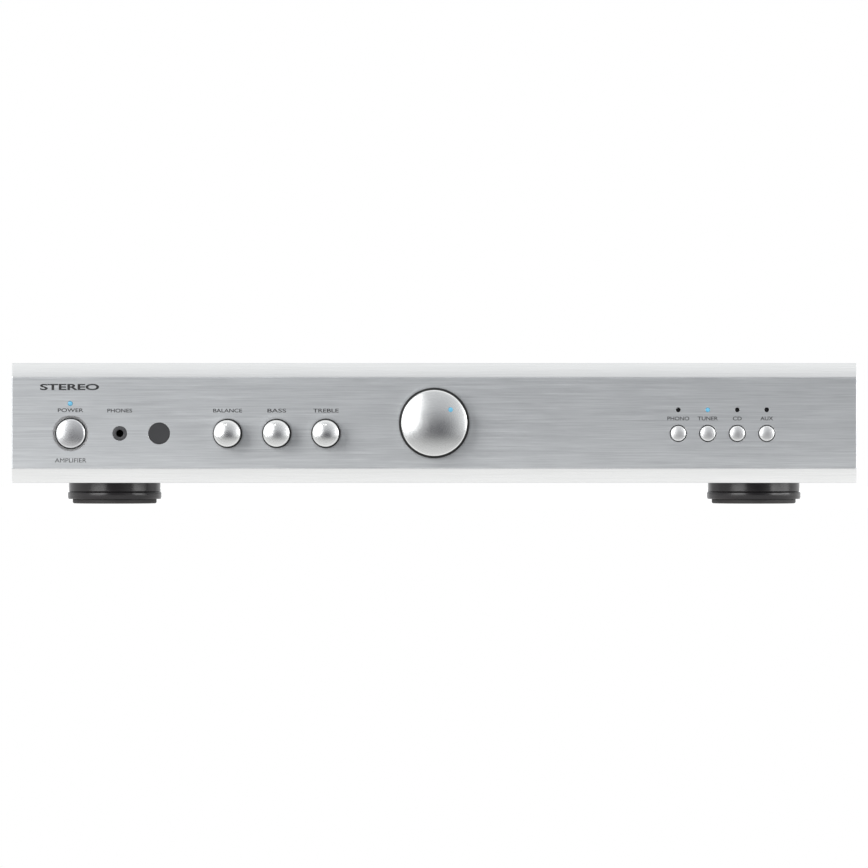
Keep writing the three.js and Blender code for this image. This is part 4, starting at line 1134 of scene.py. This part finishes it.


# ---------- Phono sockets ----------
# Banks moulded in black, each socket with a gold-plated shell round a coloured insert: white
# for the left channel in the upper row, red for the right below it.
gold_plate = grained_finish("gold_plate", (0.80, 0.56, 0.22), (0.90, 0.68, 0.32), 1.0, 0.16, 0.26, 0.3, 0.002)
jack_moulding = grained_finish("jack_moulding", (0.012, 0.012, 0.013), (0.022, 0.022, 0.024), 0.0, 0.36, 0.5,
                               0.5, 0.008)
white_insert = grained_finish("white_insert", (0.70, 0.70, 0.68), (0.78, 0.78, 0.76), 0.0, 0.3, 0.45,
                              0.4, 0.003)
red_plastic = grained_finish("red_plastic", (0.42, 0.012, 0.012), (0.52, 0.02, 0.016), 0.0, 0.24, 0.36,
                             0.5, 0.005)
for node, across in (("input_jacks", input_columns), ("preout_jacks", [preout])):
    low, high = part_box(node)
    inside = rear_face - 1.5 * mm
    block = slab((low.x, low.y, low.z), (high.x, inside, high.z), 0.6)
    bores = [drill(x, z, 1.7, inside - 6 * mm, inside + 1 * mm, steps=24) for x in across for z in jack_rows]
    as_piece(carved(block, *bores), node + "_block", jack_moulding, stands_for=[node])
    shells, inserts = [], {jack_rows[0]: [], jack_rows[1]: []}
    for x in across:
        for z in jack_rows:
            at = (x, rear_face, z)
            shells.append(turned([(3.3, 0), (4.15, -1.4), (4.15, 9), (3.8, 9.5),
                                  (3.4, 9.5), (3.3, 9.2), (3.3, 0)], at, "Y", 40))
            inserts[z].append(turned([(1.7, 0.2), (3.25, 0.2), (3.25, 8.4),
                                      (2.9, 8.7), (2.0, 8.7), (1.7, 8.4),
                                      (1.7, 0.2)], at, "Y", 32))
    as_piece(joined(*shells), node + "_shells", gold_plate)
    as_piece(joined(*inserts[jack_rows[1]]), node + "_left_inserts", white_insert)
    as_piece(joined(*inserts[jack_rows[0]]), node + "_right_inserts", red_plastic)


# ---------- Trigger socket ----------
# A 3.5 mm jack with a collar, for a lead that switches other equipment.
low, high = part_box("trigger_socket")
collar = turned([(1.8, -4), (3.6, -4), (3.6, 0.6), (3.2, 1), (1.8, 1),
                 (1.8, -4)], (trigger.x, rear_face, trigger.z), "Y", 48, corner=0.1)
jack_body = carved(slab(low, (high.x, rear_face - 1.5 * mm, high.z), 0.5),
                   drill(trigger.x, trigger.z, 1.85, rear_face - 13 * mm, rear_face))
as_piece(joined(collar, jack_body), "trigger_jack", black_moulding,
         stands_for=["trigger_socket"])


# ---------- Mains inlet ----------
# A black housing with a chamfered mouth and three flat plated pins, riveted through the
# rear panel by its flange. It takes a loose mains lead.
inlet_black = grained_finish("inlet_black", (0.008, 0.008, 0.009), (0.016, 0.016, 0.018), 0.0, 0.34, 0.46,
                             0.6, 0.008)


def at_inlet(x, y, z):
    """A point given from the middle of the inlet on the rear face, in millimetres."""
    return Vector((inlet.x + x * mm, rear_face + y * mm, inlet.z + z * mm))


low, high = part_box("mains_inlet")
flange = slab(at_inlet(-16, 0.3, -12.2), at_inlet(16, 3.2, 12.2), 0.8, 3)
housing = slab((low.x + 2 * mm, low.y, at_inlet(0, 0, -10).z), at_inlet(14, 1, 10), 0.5)
recess = slab(at_inlet(-12, -13.3, -8), at_inlet(12, 5, 8), 2.2, 3, only="Y")
shell = carved(carved(flange, housing, operation="UNION"), recess)
as_piece(shell, "inlet_housing", inlet_black, stands_for=["mains_inlet"])
pins = [slab(at_inlet(x - 1, -13.4, z - 2), at_inlet(x + 1, 0.7, z + 2), 0.45)
        for x, z in ((-7, -2), (7, -2), (0, 2))]
as_piece(joined(*pins), "inlet_pins", can_top)
rivets = [cross_head_screw(at_inlet(x, 3.2, 0), "Y", 1, 1.4, 0.6, recess=False) for x in (-14, 14)]
as_piece(joined(*rivets), "inlet_rivets", screw_plate)


# ---------- Speaker terminals ----------
# A black plate holds four gold-plated studs, drilled for banana plugs. On each a washer
# grips bare wire under a fluted thumb nut, red for positive and black for negative.
def fluted(profile, middle, flutes, depth, reach_from, reach_to):
    """A turned grip with shallow grooves cut along its side. All but its middle is in millimetres."""
    out = max(r for r, _ in profile) + 0.7 - depth
    grooves = []
    for i in range(flutes):
        turn = math.tau * i / flutes
        grooves.append(turned([(0, reach_from), (0.7, reach_from), (0.7, reach_to), (0, reach_to)],
                              Vector(middle) + out * mm * Vector((math.cos(turn), 0, math.sin(turn))),
                              "Y", 10))
    return carved(turned(profile, middle, "Y", 96), *grooves)


terminal_black = grained_finish("terminal_black", (0.010, 0.010, 0.011), (0.020, 0.020, 0.022), 0.0,
                                0.26, 0.38, 0.5, 0.006)
low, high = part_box("speaker_terminal_plate")
plate = slab((low.x, rear_face + 0.15 * mm, low.z), (high.x, rear_face + 3 * mm, high.z), 1, 3)
centres = [middle_of(post + "_nut") for post in posts]
plate = carved(plate, *(drill(c.x, c.z, 3.02, rear_face, rear_face + 5 * mm) for c in centres))
collars = [turned([(3.02, -5), (4.7, -5), (4.7, 0.1), (3.02, 0.1),
                   (3.02, -5)], (c.x, rear_face, c.z), "Y", 48) for c in centres]
as_piece(joined(plate, *collars), "terminal_plate", terminal_black,
         stands_for=["speaker_terminal_plate"])
studs = []
for c in centres:
    stud = [(0, -9), (2.6, -9), (3, -8.5), (3, 4)]
    for i in range(11):
        stud += [(2.72, 4.2 + 0.76 * i), (3, 4.58 + 0.76 * i)]
    stud += [(2.9, 13), (2.1, 13), (2.1, 1), (0, 1)]
    studs.append(turned(stud, (c.x, rear_face, c.z), "Y", 40))
as_piece(joined(*studs), "terminal_studs", gold_plate)
colours = {"positive": (red_plastic, "red_plastic"), "negative": (terminal_black, "terminal_plastic")}
for post, c in zip(posts, centres):
    at = (c.x, rear_face, c.z)
    washer = turned([(3.2, 3.1), (6.3, 3.1), (6.5, 3.3), (6.5, 3.9),
                     (6.3, 4.1), (3.2, 4.1), (3.2, 3.1)], at, "Y", 64)
    as_piece(washer, post + "_contact_washer", gold_plate, post + "_washer", [post + "_washer"])
    nut = fluted([(3.2, 4.2), (6.9, 4.2), (7.2, 4.6), (7.2, 15.9),
                  (6.4, 17), (2.4, 17), (2.1, 16.7), (2.1, 14),
                  (3.2, 14), (3.2, 4.2)], at, 24, 0.45, 5, 18)
    colour, slot = colours[post.split("_")[1]]
    as_piece(nut, post + "_thumb_nut", colour, post + "_nut", [post + "_nut"])


# ---------- Ground terminal ----------
# A knurled plated thumb screw with a loose washer, for the earth lead of a record player.
at = (ground.x, rear_face, ground.z)
washer = turned([(2.1, 0.15), (4.9, 0.15), (5, 0.3), (5, 1.2),
                 (4.9, 1.35), (2.1, 1.35), (2.1, 0.15)], at, "Y", 48)
as_piece(washer, "earth_washer", screw_plate, "ground_washer", ["ground_washer"])
thumb = fluted([(0, -10), (1.5, -10), (1.9, -9.6), (1.9, 1.5), (4.4, 1.5),
                (4.6, 1.8), (4.6, 8.8), (3.8, 9.6), (1.2, 9.6),
                (0.9, 9.2), (0, 9.2)], at, 20, 0.35, 2.2, 11)
as_piece(thumb, "earth_thumb_screw", gold_plate, "ground_screw", ["ground_screw"])


# ---------- Rear printing ----------
# Names of the sockets, in the same ink as the front's, read from behind. Each has its place
# across and up, and its width, in millimetres.
names = [("PHONO", 178, 60, 9), ("TUNER", 163, 60, 9), ("CD", 148, 60, 4), ("AUX", 133, 60, 6),
         ("PRE OUT", 104, 60, 12), ("LEFT", 191.5, 50, 6), ("RIGHT", 191.5, 32, 7),
         ("GROUND", 196, 25, 11), ("TRIGGER", 80, 49, 11),
         ("RIGHT SPEAKER", -85.5, 58, 26), ("LEFT SPEAKER", -40.5, 58, 24), ("MAINS INPUT", -178, 58, 20)]
names += [(sign, x, 25, 3) for x, sign in ((-31, "-"), (-50, "+"), (-76, "-"), (-95, "+"))]
rear_words = [lettering(text, (x * mm, rear_face, z * mm), width, 0.5 if text == "-" else 2.2, facing=1)
              for text, x, z, width in names]
as_piece(joined(*rear_words), "rear_printing", print_ink, smooth_below=30)


# ---------- Wiring ----------
# Insulated leads: the mains inlet to the switch, the transformer to the board, and the
# boards' ribbons, dressed low along the tray.
def lead(points, radius):
    """A round lead of a radius, run smoothly through points: both in millimetres."""
    run = bpy.data.curves.new("lead", "CURVE")
    run.dimensions = "3D"
    run.bevel_depth = radius * mm
    run.bevel_resolution = 3
    run.use_fill_caps = True
    run.resolution_u = 8
    spline = run.splines.new("BEZIER")
    spline.bezier_points.add(len(points) - 1)
    for knot, point in zip(spline.bezier_points, points):
        knot.co = Vector(point) * mm
        knot.handle_left_type = knot.handle_right_type = "AUTO"
    holder = bpy.data.objects.new("lead", run)
    studio.collection.objects.link(holder)
    bpy.context.view_layer.update()
    shape = bmesh.new()
    shape.from_mesh(bpy.data.meshes.new_from_object(
        holder.evaluated_get(bpy.context.evaluated_depsgraph_get())))
    bpy.data.objects.remove(holder)
    return shape


jackets = {"brown": (0.10, 0.035, 0.015), "blue": (0.02, 0.06, 0.22), "yellow": (0.55, 0.38, 0.03),
           "red": (0.40, 0.02, 0.02)}
runs = {"brown": [[(-185, 139, 38), (-196, 125, 22), (-203, 60, 19), (-203, -80, 20),
                   (-192, -108, 26), (-189, -113.5, 32)]],
        "blue": [[(-171, 139, 38), (-186, 122, 20), (-198, 60, 17.5), (-198, -80, 18),
                  (-186, -106, 24), (-181, -113.5, 32)],
                 [(-70, -92, 24), (-50, -100, 20), (-10, -108, 19), (40, -110, 22),
                  (60, -98, 28), (64, -88, 23)]],
        "yellow": [[(-72, -35, 26), (-50, -50, 19), (-18, -66, 18), (20, -72, 22),
                    (44, -76, 27), (50, -74, 22.5)]],
        "red": [[(-74, -28, 30), (-50, -44, 22), (-16, -60, 21), (20, -66, 25),
                 (46, -68, 29), (52, -64, 22.5)]]}
lead_radius = 1.1
for colour, paint in jackets.items():
    jacket = grained_finish(colour + "_jacket", paint, [min(1, c * 1.3) for c in paint], 0.0, 0.35, 0.5,
                            0.5, 0.004)
    as_piece(joined(*(lead(points, lead_radius) for points in runs[colour])), colour + "_leads", jacket,
             smooth_below=60)


# ---------- Top cover ----------
# One sheet of steel folded down over both sides, powder-coated silver grey and punched with
# rows of vents over the heatsink and the transformer. Three screws hold it at each side.
low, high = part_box("top_cover")
skin = folded_sheet([(low.x, low.z), (low.x, high.z), (high.x, high.z), (high.x, low.z)],
                    low.y, high.y, sheet, bend=2.4 * mm)
skin = vented(skin, [(60 * mm, 62 * mm, 26, 2, 42 * mm), (-115 * mm, -60 * mm, 10, 1, 60 * mm)],
              high.z - 3 * mm, high.z + 1 * mm)
as_piece(skin, "cover", case_paint, stands_for=["top_cover"])
cover_side = 213
cover_screws = [cross_head_screw((side * cover_side * mm, y * mm, 22 * mm), "X", side, 3.6, 1.7)
                for side in (-1, 1) for y in (-110, 20, 128)]
as_piece(joined(*cover_screws), "cover_screws", black_steel)
